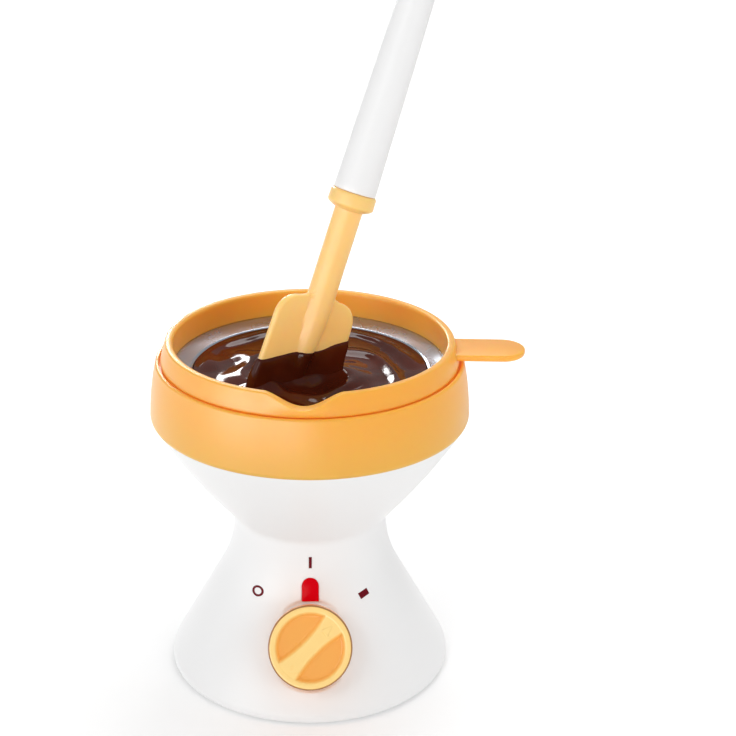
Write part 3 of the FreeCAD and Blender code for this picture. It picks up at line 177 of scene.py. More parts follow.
def start_edit():
    bpy.ops.object.mode_set(mode="EDIT")
    bpy.ops.mesh.select_mode(type="VERT")
    bpy.ops.mesh.select_all(action="SELECT")


def close_and_smooth(piece, angle=40):
    """Merge doubles, turn the faces outwards, and shade smooth where faces meet at less than an angle."""
    start_edit()
    bpy.ops.mesh.remove_doubles(threshold=0.000002)
    bpy.ops.mesh.normals_make_consistent(inside=False)
    bpy.ops.object.mode_set(mode="OBJECT")
    bpy.ops.object.shade_smooth_by_angle(angle=math.radians(angle))
    return piece


def pick(piece, test):
    """Select the vertices whose place passes a test, and stay in edit mode."""
    bpy.ops.object.mode_set(mode="EDIT")
    bpy.ops.mesh.select_mode(type="VERT")
    bpy.ops.mesh.select_all(action="DESELECT")
    bpy.ops.object.mode_set(mode="OBJECT")
    for vertex in piece.data.vertices:
        vertex.select = test(vertex.co)
    bpy.ops.object.mode_set(mode="EDIT")


def arc(start, end, radius, turn, steps):
    """Points on the short arc from start to end, start left out.

    A turn of 1 is counter-clockwise and -1 clockwise.
    """
    start = Vector(start)
    end = Vector(end)
    chord = end - start
    half = chord.length / 2
    left = Vector((-chord.y, chord.x)).normalized()
    middle = (start + end) / 2 + left * turn * math.sqrt(max(radius * radius - half * half, 0))
    first = math.atan2(start.y - middle.y, start.x - middle.x)
    sweep = turn * 2 * math.asin(min(half / radius, 1))
    return [(middle.x + radius * math.cos(first + sweep * step / steps),
             middle.y + radius * math.sin(first + sweep * step / steps)) for step in range(1, steps + 1)]


def turned(name, side, segments=192):
    """Turn a side view of (radius, height) points in millimetres about the Z axis.

    A ring is extruded from point to point and widened to each radius; a radius of 0 ends in a pole.
    """
    rings = [point for point in side if point[0] > 0]
    bpy.ops.object.select_all(action="DESELECT")
    bpy.ops.mesh.primitive_circle_add(vertices=segments, radius=rings[0][0] * MM)
    piece = bpy.context.object
    piece.name = name
    start_edit()
    bpy.ops.transform.translate(value=(0, 0, rings[0][1] * MM))
    for (radius, height), (wider, higher) in zip(rings, rings[1:]):
        bpy.ops.mesh.extrude_edges_move(TRANSFORM_OT_translate={"value": (0, 0, (higher - height) * MM)})
        grow = wider / radius
        bpy.ops.transform.resize(value=(grow, grow, 1), center_override=(0, 0, higher * MM))
    if side[-1][0] == 0:
        rise = (side[-1][1] - rings[-1][1]) * MM
        bpy.ops.mesh.extrude_edges_move(TRANSFORM_OT_translate={"value": (0, 0, rise)})
        bpy.ops.mesh.merge(type="CENTER")
    if side[0][0] == 0:
        foot = rings[0][1] * MM
        reach = rings[0][0] * MM
        pick(piece, lambda place: abs(place.z - foot) < 1e-7 and abs(place.xy.length - reach) < 1e-7)
        bpy.ops.mesh.extrude_edges_move(TRANSFORM_OT_translate={"value": (0, 0, side[0][1] * MM - foot)})
        bpy.ops.mesh.merge(type="CENTER")
    return close_and_smooth(piece)


def sleeve(name, segments, levels, put):
    """A tube of rings whose every vertex is put in place by a function of its angle and its ring's number.

    The function gives millimetres. Rings drawn to a line or a point close the ends.
    """
    bpy.ops.object.select_all(action="DESELECT")
    bpy.ops.mesh.primitive_circle_add(vertices=segments, radius=1)
    piece = bpy.context.object
    piece.name = name
    start_edit()
    for _ in range(levels - 1):
        bpy.ops.mesh.extrude_edges_move(TRANSFORM_OT_translate={"value": (0, 0, 1)})
    bpy.ops.object.mode_set(mode="OBJECT")
    for vertex in piece.data.vertices:
        angle = math.atan2(vertex.co.y, vertex.co.x)
        vertex.co = Vector(put(angle, round(vertex.co.z))) * MM
    return close_and_smooth(piece)


def close_rims(piece):
    """Close each open rim of a piece with one face."""
    start_edit()
    bpy.ops.mesh.select_all(action="DESELECT")
    bpy.ops.mesh.select_non_manifold()
    bpy.ops.mesh.edge_face_add()
    bpy.ops.object.mode_set(mode="OBJECT")


def dressed(node, name, angle=30):
    """A merged copy of a CAD solid that stands for it, shaded smooth up to an angle."""
    bpy.ops.object.select_all(action="DESELECT")
    bpy.context.view_layer.objects.active = nodes[node]
    nodes[node].select_set(True)
    bpy.ops.object.duplicate()
    piece = bpy.context.object
    piece.name = name
    for key in list(piece.keys()):
        del piece[key]
    piece.parent = None
    start_edit()
    bpy.ops.mesh.remove_doubles(threshold=0.000002)
    bpy.ops.object.mode_set(mode="OBJECT")
    bpy.ops.object.shade_smooth_by_angle(angle=math.radians(angle))
    apply_modifier(piece, "WEIGHTED_NORMAL", keep_sharp=True)
    return piece


def apply_modifier(piece, kind, **settings):
    """Add a modifier with its settings and apply it."""
    bpy.context.view_layer.objects.active = piece
    modifier = piece.modifiers.new(kind.lower(), kind)
    for name, value in settings.items():
        setattr(modifier, name, value)
    bpy.ops.object.modifier_apply(modifier=modifier.name)


def fit_out(piece, body, slot, *replaced):
    """Give a piece its finish and its body, and hide the CAD nodes that it stands for."""
    piece.data.materials.clear()
    piece.data.materials.append(slot_finish[slot])
    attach(piece, body)
    if replaced:
        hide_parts(*replaced)


def ease(share):
    """A soft step from 0 to 1."""
    share = min(max(share, 0.0), 1.0)
    return share * share * (3 - 2 * share)


def tongue(angle, half, straight, inset):
    """A point at an angle on the outline of a tongue along +X: straight sides, a round end, and an inset."""
    side = half - inset
    if math.cos(angle) >= 0:
        return straight + side * math.cos(angle), side * math.sin(angle)
    back = abs(angle) / (math.pi / 2) - 1
    hand = math.copysign(1, math.sin(angle))
    if back < 0.5:
        return straight * (1 - 2 * back) + inset * 2 * back, hand * side
    return inset, hand * side * (2 - 2 * back)


# Housing, collar and what closes the base

HEEL = Vector((60.1, 5.3))
WAIST_FOOT = Vector((40.0, 42.0))
NECK = Vector((32.8, 69.0))
WAIST_ARC = 54.0
waist_chord = NECK - WAIST_FOOT
waist_middle = ((WAIST_FOOT + NECK) / 2 + Vector((waist_chord.y, -waist_chord.x)).normalized()
                * math.sqrt(WAIST_ARC ** 2 - (waist_chord.length / 2) ** 2))


def front_radius(height):
    """Outer radius of the base housing: the cone below, the hollow curve of the waist above."""
    if height <= WAIST_FOOT.y:
        return HEEL.x - (HEEL.x - WAIST_FOOT.x) * (height - HEEL.y) / (WAIST_FOOT.y - HEEL.y)
    return waist_middle.x - math.sqrt(WAIST_ARC ** 2 - (height - waist_middle.y) ** 2)


# Where the knob and the lens sit on the slope of the housing

KNOB_HEIGHT = 29.8
flare = math.atan2(HEEL.x - WAIST_FOOT.x, WAIST_FOOT.y - HEEL.y)
KNOB = (Matrix.Translation(Vector((0, -front_radius(KNOB_HEIGHT), KNOB_HEIGHT)) * MM)
        @ Matrix.Rotation(math.pi / 2 - flare, 4, "X"))
LENS = Matrix.Translation((0, -0.036, 0.051)) @ Matrix.Rotation(math.radians(68), 4, "X")
LENS_HALF = 3.5
LENS_LENGTH = 9.9
LENS_FOOT = -5.3
knob_outwards = KNOB.to_3x3() @ Vector((0, 0, 1))
lens_inverse = LENS.inverted()

# One skin for the two white shells, with the knob's shallow seat, the lamp's slot and the cord's recess

SHELL_FOOT = (60.9, 1.5)
THROAT = (34.5, 73.2)
MOUTH = (66.6, 117.0)
INNER_THROAT = (31.5, 73.2)
INNER_MOUTH = (63.6, 117.0)
FUNNEL_ARC = 279
WALL = 3
# Heights at which the outside is drawn: the cone first, then the waist
side_heights = ([5.3 + 36.7 * step / 110 for step in range(1, 110)]
                + [42 + 0.45 * step for step in range(61)])
shell_side = ([SHELL_FOOT] + arc(SHELL_FOOT, HEEL, 6, 1, 6)
              + [(front_radius(height), height) for height in side_heights]
              + arc(NECK, THROAT, 6, -1, 6) + arc(THROAT, MOUTH, FUNNEL_ARC, 1, 36))
inner_side = ([INNER_MOUTH] + arc(INNER_MOUTH, INNER_THROAT, FUNNEL_ARC, -1, 12)
              + [(29.8, 69.0), (32.0, 55.0), (37.0, 42.0)]
              + [(front_radius(height) - WALL, height) for height in range(38, 5, -2)]
              + [(57.9, 4.0), (57.9, 1.5)])
SEAT_RADIUS = 19.6
SEAT_DEPTH = 1.5
SEAT_EDGE = 1.6
SLOT_DEPTH = 1.4
SLOT_GAP = 0.15
SLOT_EDGE = 0.6
GLAND_FLOOR = 49.25
GLAND_RADIUS = 8.5
GLAND_HEIGHT = 17
GLAND_EDGE = 0.6


def front_share(angle):
    """Spread the columns: close together at the knob in front and at the cord behind, wider at the sides."""
    turn = ((angle + math.pi / 2) / FULL_TURN) % 1.0
    stops = ((0, 0), (0.25, 32), (0.42, 166), (0.58, 194), (0.75, 328), (1, 360))
    for (first, low), (second, high) in zip(stops, stops[1:]):
        if turn <= second:
            return math.radians(low + (high - low) * (turn - first) / (second - first)) - math.pi / 2


def put_shell(angle, level):
    """The shell's outside with its three hollows, then its inside."""
    angle = front_share(angle)
    outside = level < len(shell_side)
    radius, height = shell_side[level] if outside else inner_side[level - len(shell_side)]
    spot = Vector((radius * math.cos(angle), radius * math.sin(angle), height))
    wall = 0 if outside else WALL
    off = ease((GLAND_RADIUS + wall - math.hypot(spot.x, spot.z - GLAND_HEIGHT)) / GLAND_EDGE)
    if spot.y > GLAND_FLOOR - wall and off > 0:
        spot.y += (GLAND_FLOOR - wall - spot.y) * off
    if outside and spot.y < 0:
        away = spot - KNOB.translation / MM
        proud = away.dot(knob_outwards) + SEAT_DEPTH
        beside = (away - knob_outwards * away.dot(knob_outwards)).length
        if proud > 0 and beside < SEAT_RADIUS:
            spot -= knob_outwards * proud * ease((SEAT_RADIUS - beside) / SEAT_EDGE)
        slot = lens_inverse @ (spot * MM) / MM
        up = slot.y - LENS_FOOT
        reach = math.hypot(slot.x, max(up - LENS_LENGTH + LENS_HALF, 0))
        if up > 0:
            inside = ease((LENS_HALF + SLOT_GAP - reach) / SLOT_EDGE)
            spot -= LENS.to_3x3() @ Vector((0, 0, SLOT_DEPTH)) * inside
    return spot


shell = sleeve("housing_shell", 360, len(shell_side) + len(inner_side), put_shell)
pick(shell, lambda place: abs(place.z - SHELL_FOOT[1] * MM) < 1e-7)
bpy.ops.mesh.bridge_edge_loops()
bpy.ops.object.mode_set(mode="OBJECT")
bpy.ops.object.shade_smooth_by_angle(angle=math.radians(82))
fit_out(shell, "base", "white_plastic", "base_housing", "upper_shell")

fit_out(dressed("bottom_cover", "cover_plate"), "base", "grey_plastic", "bottom_cover")
for number in (1, 2, 3, 4):
    fit_out(dressed(f"foot_{number}", f"rubber_foot_{number}"), "base", "foot_rubber", f"foot_{number}")
fit_out(dressed("cord_gland", "gland_plug"), "base", "grey_plastic", "cord_gland")

collar_side = ([(66.7, 117.0)] + arc((66.7, 117.0), (67.15, 119.0), 2.6, 1, 4)
               + arc((67.15, 119.0), (64.6, 140.1), 120, 1, 14) + arc((64.6, 140.1), (63.4, 141.3), 1.2, 1, 6)
               + [(63.1, 141.25), (63.05, 139.6), (62.1, 139.6), (62.1, 140.6), (62.0, 140.7), (59.2, 140.7),
                  (58.8, 140.3), (58.8, 128.0), (60.4, 128.0), (60.4, 136.7), (61.5, 136.7), (65.0, 119.0),
                  (61.3, 117.0), (59.1, 114.0), (61.3, 114.0), (63.5, 116.9), (64.2, 117.0), (66.7, 117.0)])
fit_out(turned("collar_shell", collar_side), "base", "orange_plastic", "collar")

# Melting pot: ring with spout and handle tab, metal bowl

POT_TURN = math.radians(-2.5)
SPOUT_ANGLE = -math.pi / 2 + POT_TURN
SPOUT_NOSE = 2
SPOUT_WINGS = 14
SPOUT_DIP = 5.0
SPOUT_PUSH = 1.5
SPOUT_PUSH_OUTSIDE = 2.3
SEAM = 141.0
RIM = 150.0
ring_side = ([(61.5, 141.0)] + arc((61.5, 141.0), (62.25, 141.7), 0.8, 1, 4)
             + [(62.1, 142.4), (61.8, 143.8), (61.5, 145.2), (61.1, 146.6), (60.7, 147.8), (60.35, 148.7)]
             + arc((60.3, 149.0), (59.2, 150.0), 1.1, 1, 6) + [(58.6, 150.05)]
             + arc((58.2, 150.0), (57.0, 149.0), 1.2, 1, 6)
             + [(57.0, 147.8), (57.0, 146.4), (57.0, 145.0), (57.0, 143.4), (57.0, 141.8), (57.0, 140.4),
                (57.0, 138.9), (57.72, 138.88), (57.72, 138.0), (56.0, 137.95), (56.0, 132.1), (58.4, 132.1),
                (58.4, 141.0), (61.5, 141.0)])


def spout_share(across):
    """How far the rim follows the spout, from 1 at its nose to 0 beyond its wings, by the distance across."""
    slope = max(1 - (math.sqrt(across * across + SPOUT_NOSE ** 2) - SPOUT_NOSE) / SPOUT_WINGS, 0)
    return 0.6 * ease(slope) + 0.4 * slope


def shape_spout(place):
    """Crowd the columns at the spout, dip the rim there, and push the wall out into a nose."""
    radius = place.xy.length / MM
    height = place.z / MM
    off = math.atan2(place.y, place.x) - SPOUT_ANGLE
    off = (off + math.pi) % FULL_TURN - math.pi
    off -= 0.6 * math.sin(off)
    share = spout_share(off * 60)
    up = max((height - SEAM) / (RIM - SEAM), 0.0)
    outside = ease((radius - 57.2) / 3.0)
    radius += (SPOUT_PUSH + SPOUT_PUSH_OUTSIDE * outside) * share * up ** 0.85
    height -= SPOUT_DIP * share * up ** 1.2
    angle = SPOUT_ANGLE + off
    return Vector((radius * math.cos(angle), radius * math.sin(angle), height)) * MM


ring = turned("pot_rim", ring_side, 360)
for vertex in ring.data.vertices:
    vertex.co = shape_spout(vertex.co)

TAB_HALF = 9.8
TAB_ROOT = 59.0
TAB_END = 89.49
# How far each ring lies inside the outline, and its height
tab_levels = [(TAB_HALF, 144.0), (1.6, 144.0), (0.8, 144.15), (0.25, 144.55), (0.0, 145.2), (0.0, 146.2),
              (0.12, 146.6), (0.4, 146.85), (0.9, 147.0), (TAB_HALF, 147.0)]


def put_tab(angle, level):
    """The handle tab: a tongue that starts inside the ring and ends in a half circle."""
    inset, height = tab_levels[level]
    x, y = tongue(angle, TAB_HALF, TAB_END - TAB_HALF - TAB_ROOT, inset)
    return TAB_ROOT + x, y, height


tab = sleeve("pot_tab", 96, len(tab_levels), put_tab)
tab.data.transform(Matrix.Rotation(POT_TURN, 4, "Z"))
bpy.ops.object.select_all(action="DESELECT")
tab.select_set(True)
ring.select_set(True)
bpy.context.view_layer.objects.active = ring
bpy.ops.object.join()
close_and_smooth(ring, 35)
fit_out(ring, "melting_pot", "orange_plastic", "pot_ring")

bowl_side = ([(0, 112.2), (40.5, 112.2)] + arc((40.5, 112.2), (45.3, 118.0), 6.5, 1, 8)
             + [(49.6, 135.6), (50.4, 136.0), (52.5, 136.6), (54.5, 137.4), (56.0, 138.05), (57.65, 138.05),
                (57.65, 138.8), (56.4, 138.8), (55.6, 138.5), (54.2, 137.9), (52.4, 137.3), (50.4, 136.8)]
             + arc((50.4, 136.8), (48.7, 135.2), 2.0, 1, 5) + [(44.5, 118.0)]
             + arc((44.5, 118.0), (40.5, 113.0), 6.0, -1, 8) + [(0, 113.0)])
fit_out(turned("bowl_metal", bowl_side), "melting_pot", "bowl_steel", "pot_bowl")

# Chocolate: wet, stirred surface with a spiral of soft ridges round the spatula

LEVEL = 136.2
STIR = Vector((-3.0, -6.0))
# Where the spatula's blade passes through the surface, and the line of its width there
BLADE_AT_LEVEL = Vector((-6.7, -14.2))
BLADE_LINE = Vector((0.84, 0.54))
BLADE_SPAN = 19
# Radius of the bowl's wall, where the chocolate creeps up, and the radius from which the ridges are still
BOWL_WALL = 49.0
STILL_FROM = 48.9
RIDGE_PITCH = 18.0
RIDGE_HEIGHT = 1.5
chocolate_radii = [0.0] + [1.0 + 0.72 * step for step in range(66)] + [48.7]
chocolate_underside = [(48.75, 135.9), (47.5, 130.0), (44.4, 118.0), (42.5, 114.2), (40.0, 113.05),
                       (0, 113.05)]


def stirred(x, y):
    """Height of the stirred surface over its level, in millimetres."""
    away = Vector((x, y)) - STIR
    distance = away.length
    heading = math.atan2(away.y, away.x)
    drift = noise.noise(Vector((x / 19, y / 19, 0.3))) * 1.1
    phase = distance / RIDGE_PITCH + heading / FULL_TURN + drift * 0.4
    wave = phase - math.floor(phase)
    crest = (0.5 + 0.5 * math.cos(FULL_TURN * wave)) ** 1.7
    radius = math.hypot(x, y)
    strength = RIDGE_HEIGHT * ease(distance / 9) * ease((STILL_FROM - radius) / 7)
    coarse = noise.noise(Vector((x / 6.5, y / 6.5, 2.7))) * 0.16
    small = coarse + noise.noise(Vector((x / 2.6, y / 2.6, 5.1))) * 0.03
    wall = math.exp(-(BOWL_WALL - radius) / 1.6) * 0.5
    from_blade = Vector((x, y)) - BLADE_AT_LEVEL
    along = min(max(from_blade.dot(BLADE_LINE), -BLADE_SPAN), BLADE_SPAN)
    aside = (from_blade - BLADE_LINE * along).length
    heap = 2.6 * math.exp(-(aside / 5.0) ** 2) * (1 - 0.3 * along / BLADE_SPAN)
    return strength * (crest - 0.35) + small * ease((BOWL_WALL - radius) / 3) + wall + heap


def put_chocolate(angle, level):
    """The surface from the middle to the wall, then the underside down the bowl to its floor."""
    top = len(chocolate_radii)
    if level < top:
        radius = chocolate_radii[level]
        x = radius * math.cos(angle)
        y = radius * math.sin(angle)
        return x, y, LEVEL + stirred(x, y)
    radius, height = chocolate_underside[level - top]
    return radius * math.cos(angle), radius * math.sin(angle), height


melt = sleeve("chocolate_melt", 240, len(chocolate_radii) + len(chocolate_underside), put_chocolate)
fit_out(melt, "melting_pot", "chocolate", "melted_chocolate")

# Spatula: blade with a spine, shaft and grip collar in one moulding, a white grip, and its coat of chocolate

SPATULA = (Matrix.Translation(Vector((-12.3, -17.9, 119.0)) * MM)
           @ Matrix.Rotation(math.radians(33.7), 4, "Z")
           @ Matrix.Rotation(math.radians(21.2), 4, "Y") @ Matrix.Rotation(math.radians(-3.5), 4, "Z"))
HALF_BLADE = 20.5
HALF_THICK = 1.6
TIP_CORNER = 8.5
TAPER = 1.2
TAPER_LENGTH = 37
SHOULDER_START = 45.4
SHOULDER_END = 54.4
SHOULDER_CORNER = 9.0
SPINE_HALF = 5.8
blade_rings = ([0, 0.12, 0.35, 0.7, 1.1, 1.6, 2.3, 3.2, 4.3, 5.6, 7.0, 8.5, 10.5]
               + [12.5 + 2.5 * step for step in range(14)]
               + [46.4, 47.8, 49.2, 50.4, 51.5, 52.4, 53.1, 53.7, 54.1, 54.4, 54.7, 55.2, 56.0, 57.2, 59.0]
               + [62.0, 66.0, 70.0, 75.0, 80.0, 85.0, 89.0, 91.6, 92.2])
grip_side = [(5.9, 92.5), (6.6, 92.7), (8.4, 93.6), (9.2, 94.2), (9.55, 94.7), (9.6, 95.2), (9.55, 97.0),
             (9.5, 98.9), (9.35, 99.5), (9.0, 99.85), (8.4, 99.9), (3.0, 99.9), (3.0, 129.0), (2.4, 129.9),
             (0, 129.9)]


def blade_half(along):
    """Half the blade's width at a distance from its tip, round at the corners and shoulders."""
    if along < TIP_CORNER:
        return HALF_BLADE - TIP_CORNER + math.sqrt(TIP_CORNER ** 2 - (TIP_CORNER - along) ** 2)
    if along <= SHOULDER_START:
        return HALF_BLADE - TAPER * (along - TIP_CORNER) / TAPER_LENGTH
    if along <= SHOULDER_END:
        bow = math.sqrt(max(SHOULDER_CORNER ** 2 - (along - SHOULDER_START) ** 2, 0))
        return HALF_BLADE - TAPER - SHOULDER_CORNER + bow
    return SPINE_HALF + 4.5 * math.exp(-(along - SHOULDER_END) / 0.9)


def blade_depth(across, along, half):
    """Half the thickness: the flat blade with round edges, and the spine that grows out of it."""
    thick = HALF_THICK
    if along < HALF_THICK:
        thick = math.sqrt(max(HALF_THICK ** 2 - (HALF_THICK - along) ** 2, 0))
    edge = half - HALF_THICK
    flat = thick
    if abs(across) > edge:
        flat = thick * math.sqrt(max(1 - ((abs(across) - edge) / HALF_THICK) ** 2, 0))
    spine = SPINE_HALF * ease((along - 4) / 46) ** 0.8
    round_part = math.sqrt(max(spine ** 2 - across ** 2, 0))
    if along > SHOULDER_END:
        flat *= max(1 - (along - SHOULDER_END) / 3.5, 0)
    blend = 0.9
    share = ease((round_part - flat + blend) / (2 * blend))
    return flat * (1 - share) + round_part * share + blend * 0.5 * share * (1 - share) * (along > 10)


def towards_face(depth, angle):
    """A depth towards the front or the back of the blade, and none at its two edges."""
    if abs(math.sin(angle)) > 1e-6:
        return math.copysign(depth, math.sin(angle))
    return 0.0


def put_head(angle, level):
    """The moulding's outline ring by ring along its length."""
    if level < len(blade_rings):
        along = blade_rings[level]
        half = blade_half(along)
        across = half * math.cos(angle)
        return across, towards_face(blade_depth(across, along, half), angle), along
    radius, along = grip_side[level - len(blade_rings)]
    return radius * math.cos(angle), radius * math.sin(angle), along


head = sleeve("spatula_blade", 120, len(blade_rings) + len(grip_side), put_head)
head.data.transform(SPATULA)
fit_out(head, "spatula", "spatula_nylon", "spatula_head")

grip_outline = ([(3.05, 100.05), (8.5, 100.05)] + arc((8.5, 100.05), (8.85, 100.4), 0.35, 1, 4)
                + [(8.8, 104.0), (8.3, 130.0), (7.6, 165.0), (6.9, 195.0), (6.3, 218.6)]
                + arc((6.3, 218.6), (0.4, 224.89), 6.3, 1, 12) + [(0, 224.89)])
grip = turned("spatula_grip", [(0, 130.9), (3.05, 130.9)] + grip_outline, 96)
grip.data.transform(SPATULA)
fit_out(grip, "spatula", "grip_plastic", "spatula_handle")

# Heights of the coat's rings from the blade's tip: even up to COAT_FULL, thinning out over COAT_FADE above it
COAT_BELOW = 1.1
COAT_FULL = 12.0
COAT_FADE = 20.5
coat_rings = [-1.1, -0.95, -0.7, -0.2, 0.5, 1.3, 2.3, 3.5, 5.0, 6.6, 8.5, 10.2, 12.0, 14.0, 16.0, 18.0,
              20.0, 22.0, 24.0, 26.0, 28.0, 29.5, 30.6, 31.4, 32.0, 32.5]


def put_coat(angle, level):
    """Chocolate round the blade, thinning to a wavy upper edge that dips into the nylon."""
    front = math.sin(angle) < 0
    share = max(coat_rings[level] - COAT_FULL, 0.0) / COAT_FADE
    tilt = 7.5 * math.cos(angle)
    ripple = noise.noise(Vector((math.cos(angle) * 1.7, math.sin(angle) * 1.1, 4.0))) * 2.0
    along = coat_rings[level] + share * COAT_FADE * (tilt + ripple) / 22
    half = blade_half(max(along, 0.0))
    across = half * math.cos(angle)
    depth = blade_depth(across, max(along, 0.0), half)
    body = 1.15 + 0.35 * noise.noise(Vector((across / 5, along / 5, 9.0 if front else 3.0)))
    thick = body * math.sqrt(max(1 - share ** 3, 0)) - 0.12
    if along < 0:
        thick = 0.1 + (thick - 0.1) * math.sqrt(max(1 - (along / COAT_BELOW) ** 2, 0))
    return (half + thick) * math.cos(angle), towards_face(depth + thick, angle), along


coat = sleeve("chocolate_coat", 120, len(coat_rings), put_coat)
close_rims(coat)
coat.data.transform(SPATULA)
fit_out(coat, "spatula", "chocolate")

# Knob: dished face with a ridge that flares into the rim, turned to the heat mark

DISH = 11.4
RIM_START = 12.9
POINTER_START = 8.2
POINTER_LENGTH = 4.2
knob_side = ([(15.35, 8.0), (15.35, -0.6), (15.75, -1.0), (16.9, -1.0), (17.2, -0.7), (17.35, -0.3),
              (17.35, 3.0), (17.35, 8.0), (17.35, 12.4)]
             + arc((17.35, 12.9), (16.2, 14.0), 1.15, 1, 6))
face_radii = [16.2 - 0.3 * step for step in range(1, 54)] + [0.0]


def knob_face(x, y):
    """Height of the face over the knob's seat: rim, dish, and the ridge with its pointer."""
    distance = math.hypot(x, y)
    dish = DISH + 2.6 * ease((distance - RIM_START) / 1.9)
    along = (x + y) / math.sqrt(2)
    across = (y - x) / math.sqrt(2)
    half = 2.5 + 1.9 * (abs(along) / 14) ** 2.2
    ridge = DISH + 2.5 * ease((half + 2.4 - abs(across)) / 2.5)
    height = max(dish, ridge)
    reach = along - POINTER_START
    if 0 < reach < POINTER_LENGTH and abs(across) < 1.9 * (1 - reach / 4.4):
        height += 0.3
    return height


def put_knob(angle, level):
    """The skirt from its inside up over the rim, then the face to its middle."""
    if level < len(knob_side):
        radius, height = knob_side[level]
    else:
        radius = face_radii[level - len(knob_side)]
        height = knob_face(radius * math.cos(angle), radius * math.sin(angle))
    return radius * math.cos(angle), radius * math.sin(angle), height


knob = sleeve("knob_cap", 224, len(knob_side) + len(face_radii), put_knob)
close_rims(knob)
knob.data.transform(KNOB)
fit_out(knob, "rotary_knob", "knob_plastic", "knob")

# The knob's colour is painted light by height: painted shade in the dishes rising to a painted highlight on
# the rim and ridge, with a painted brown shadow round the outer edge

TONE_SPAN = 16
# Painted light: darker stops low in the dishes, paler stops high on the rim and ridge
painted_light_stops = ((10.6, "ee9c40"), (11.2, "f2aa4c"), (12.4, "f8bb62"), (13.9, "fdda8a"))
knob_tree = knob_abs.node_tree
knob_shader = knob_tree.nodes["Principled BSDF"]
place_on_knob = add(knob_tree, "ShaderNodeTexCoord")
height_on_knob = add(knob_tree, "ShaderNodeVectorMath", {"operation": "DOT_PRODUCT", 1: knob_outwards},
                     {0: place_on_knob.outputs["Object"]})
knob_foot = KNOB.translation.dot(knob_outwards)
tones = add(knob_tree, "ShaderNodeValToRGB")
for number, (height, code) in enumerate(painted_light_stops):
    stop = tones.color_ramp.elements[number] if number < 2 else tones.color_ramp.elements.new(1.0)
    stop.position = height / TONE_SPAN
    stop.color = linear(code)
share_of_height = add(knob_tree, "ShaderNodeMapRange",
                      {"From Min": knob_foot, "From Max": knob_foot + TONE_SPAN * MM},
                      {"Value": height_on_knob.outputs["Value"]})
knob_tree.links.new(share_of_height.outputs["Result"], tones.inputs["Fac"])
off_axis = add(knob_tree, "ShaderNodeVectorMath", {"operation": "SUBTRACT", 1: KNOB.translation},
               {0: place_on_knob.outputs["Object"]})
swept = add(knob_tree, "ShaderNodeVectorMath", {"operation": "CROSS_PRODUCT", 1: knob_outwards},
            {0: off_axis.outputs["Vector"]})
radius_on_knob = add(knob_tree, "ShaderNodeVectorMath", {"operation": "LENGTH"}, {0: swept.outputs["Vector"]})
# Painted shadow: brown on the rounded outer edge of the face, where the knob meets its seat
painted_shadow_edge = add(knob_tree, "ShaderNodeMapRange", {"From Min": 16.5 * MM, "From Max": 16.9 * MM},
                 {"Value": radius_on_knob.outputs["Value"]})
near_face = add(knob_tree, "ShaderNodeMapRange",
                {"From Min": 12.3 / TONE_SPAN, "From Max": 13.0 / TONE_SPAN},
                {"Value": share_of_height.outputs["Result"]})
edge = add(knob_tree, "ShaderNodeMath", {"operation": "MULTIPLY"},
           {0: painted_shadow_edge.outputs["Result"], 1: near_face.outputs["Result"]})
# The painted brown shadow is mixed over the height tones
painted_shadow_tone = add(knob_tree, "ShaderNodeMix", {"data_type": "RGBA", 7: linear("8f5c28")},
                {0: edge.outputs["Value"], 6: tones.outputs["Color"]})
knob_tree.links.new(painted_shadow_tone.outputs[2], knob_shader.inputs["Base Color"])

# Lens over the neon lamp: a tongue with its round end up and a softly domed face

lens_levels = [(LENS_HALF, -2.0), (0.0, -2.0), (0.0, 0.2), (0.1, 0.42), (0.35, 0.58), (0.8, 0.66),
               (1.6, 0.74), (2.5, 0.8), (LENS_HALF, 0.82)]


def put_lens(angle, level):
    """The lens from its back to the crown of its face."""
    inset, height = lens_levels[level]
    up, side = tongue(angle, LENS_HALF, LENS_LENGTH - LENS_HALF, inset)
    return -side, LENS_FOOT + up, height


lens = sleeve("lamp_window", 96, len(lens_levels), put_lens)
lens.data.transform(LENS)
fit_out(lens, "base", "red_lens", "indicator_lens")

# Printed marks, laid on the curved front of the housing

PRINT_LIFT = 0.06
PRINT_THICKNESS = 0.1


def lay_on_front(piece, x, height):
    """Bend a flat mark, drawn in millimetres about the origin, onto the housing at a place."""
    middle = math.asin(x / front_radius(height))
    slope = math.atan2(front_radius(height - 1) - front_radius(height + 1), 2)
    for vertex in piece.data.vertices:
        up = height + vertex.co.y * math.cos(slope)
        radius = front_radius(up) + PRINT_LIFT + vertex.co.z
        angle = middle + vertex.co.x / radius
        vertex.co = Vector((radius * math.sin(angle), -radius * math.cos(angle), up)) * MM


def print_mark(name, piece, x, height):
    """Give a flat mark its thickness, lay it on the housing, and finish it in ink."""
    piece.name = name
    bpy.ops.object.mode_set(mode="OBJECT")
    bpy.ops.object.transform_apply()
    apply_modifier(piece, "SOLIDIFY", thickness=PRINT_THICKNESS, offset=0)
    lay_on_front(piece, x, height)
    close_and_smooth(piece, 30)
    piece.data.materials.append(mark_ink)
    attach(piece, "base")


def new_mark(width, height, turn):
    """A flat grid in millimetres, turned in its plane and then widened a little."""
    bpy.ops.object.select_all(action="DESELECT")
    bpy.ops.mesh.primitive_grid_add(x_subdivisions=6, y_subdivisions=6, size=1)
    start_edit()
    bpy.ops.transform.resize(value=(width, height, 1), center_override=(0, 0, 0))
    bpy.ops.transform.rotate(value=math.radians(turn), orient_axis="Z", center_override=(0, 0, 0))
    bpy.ops.transform.resize(value=(1.15, 1, 1), center_override=(0, 0, 0))
    return bpy.context.object


print_mark("mark_on", new_mark(1.1, 5.0, 0), 0.0, 62.0)
print_mark("mark_heat", new_mark(4.3, 2.7, -14), 22.6, 45.6)

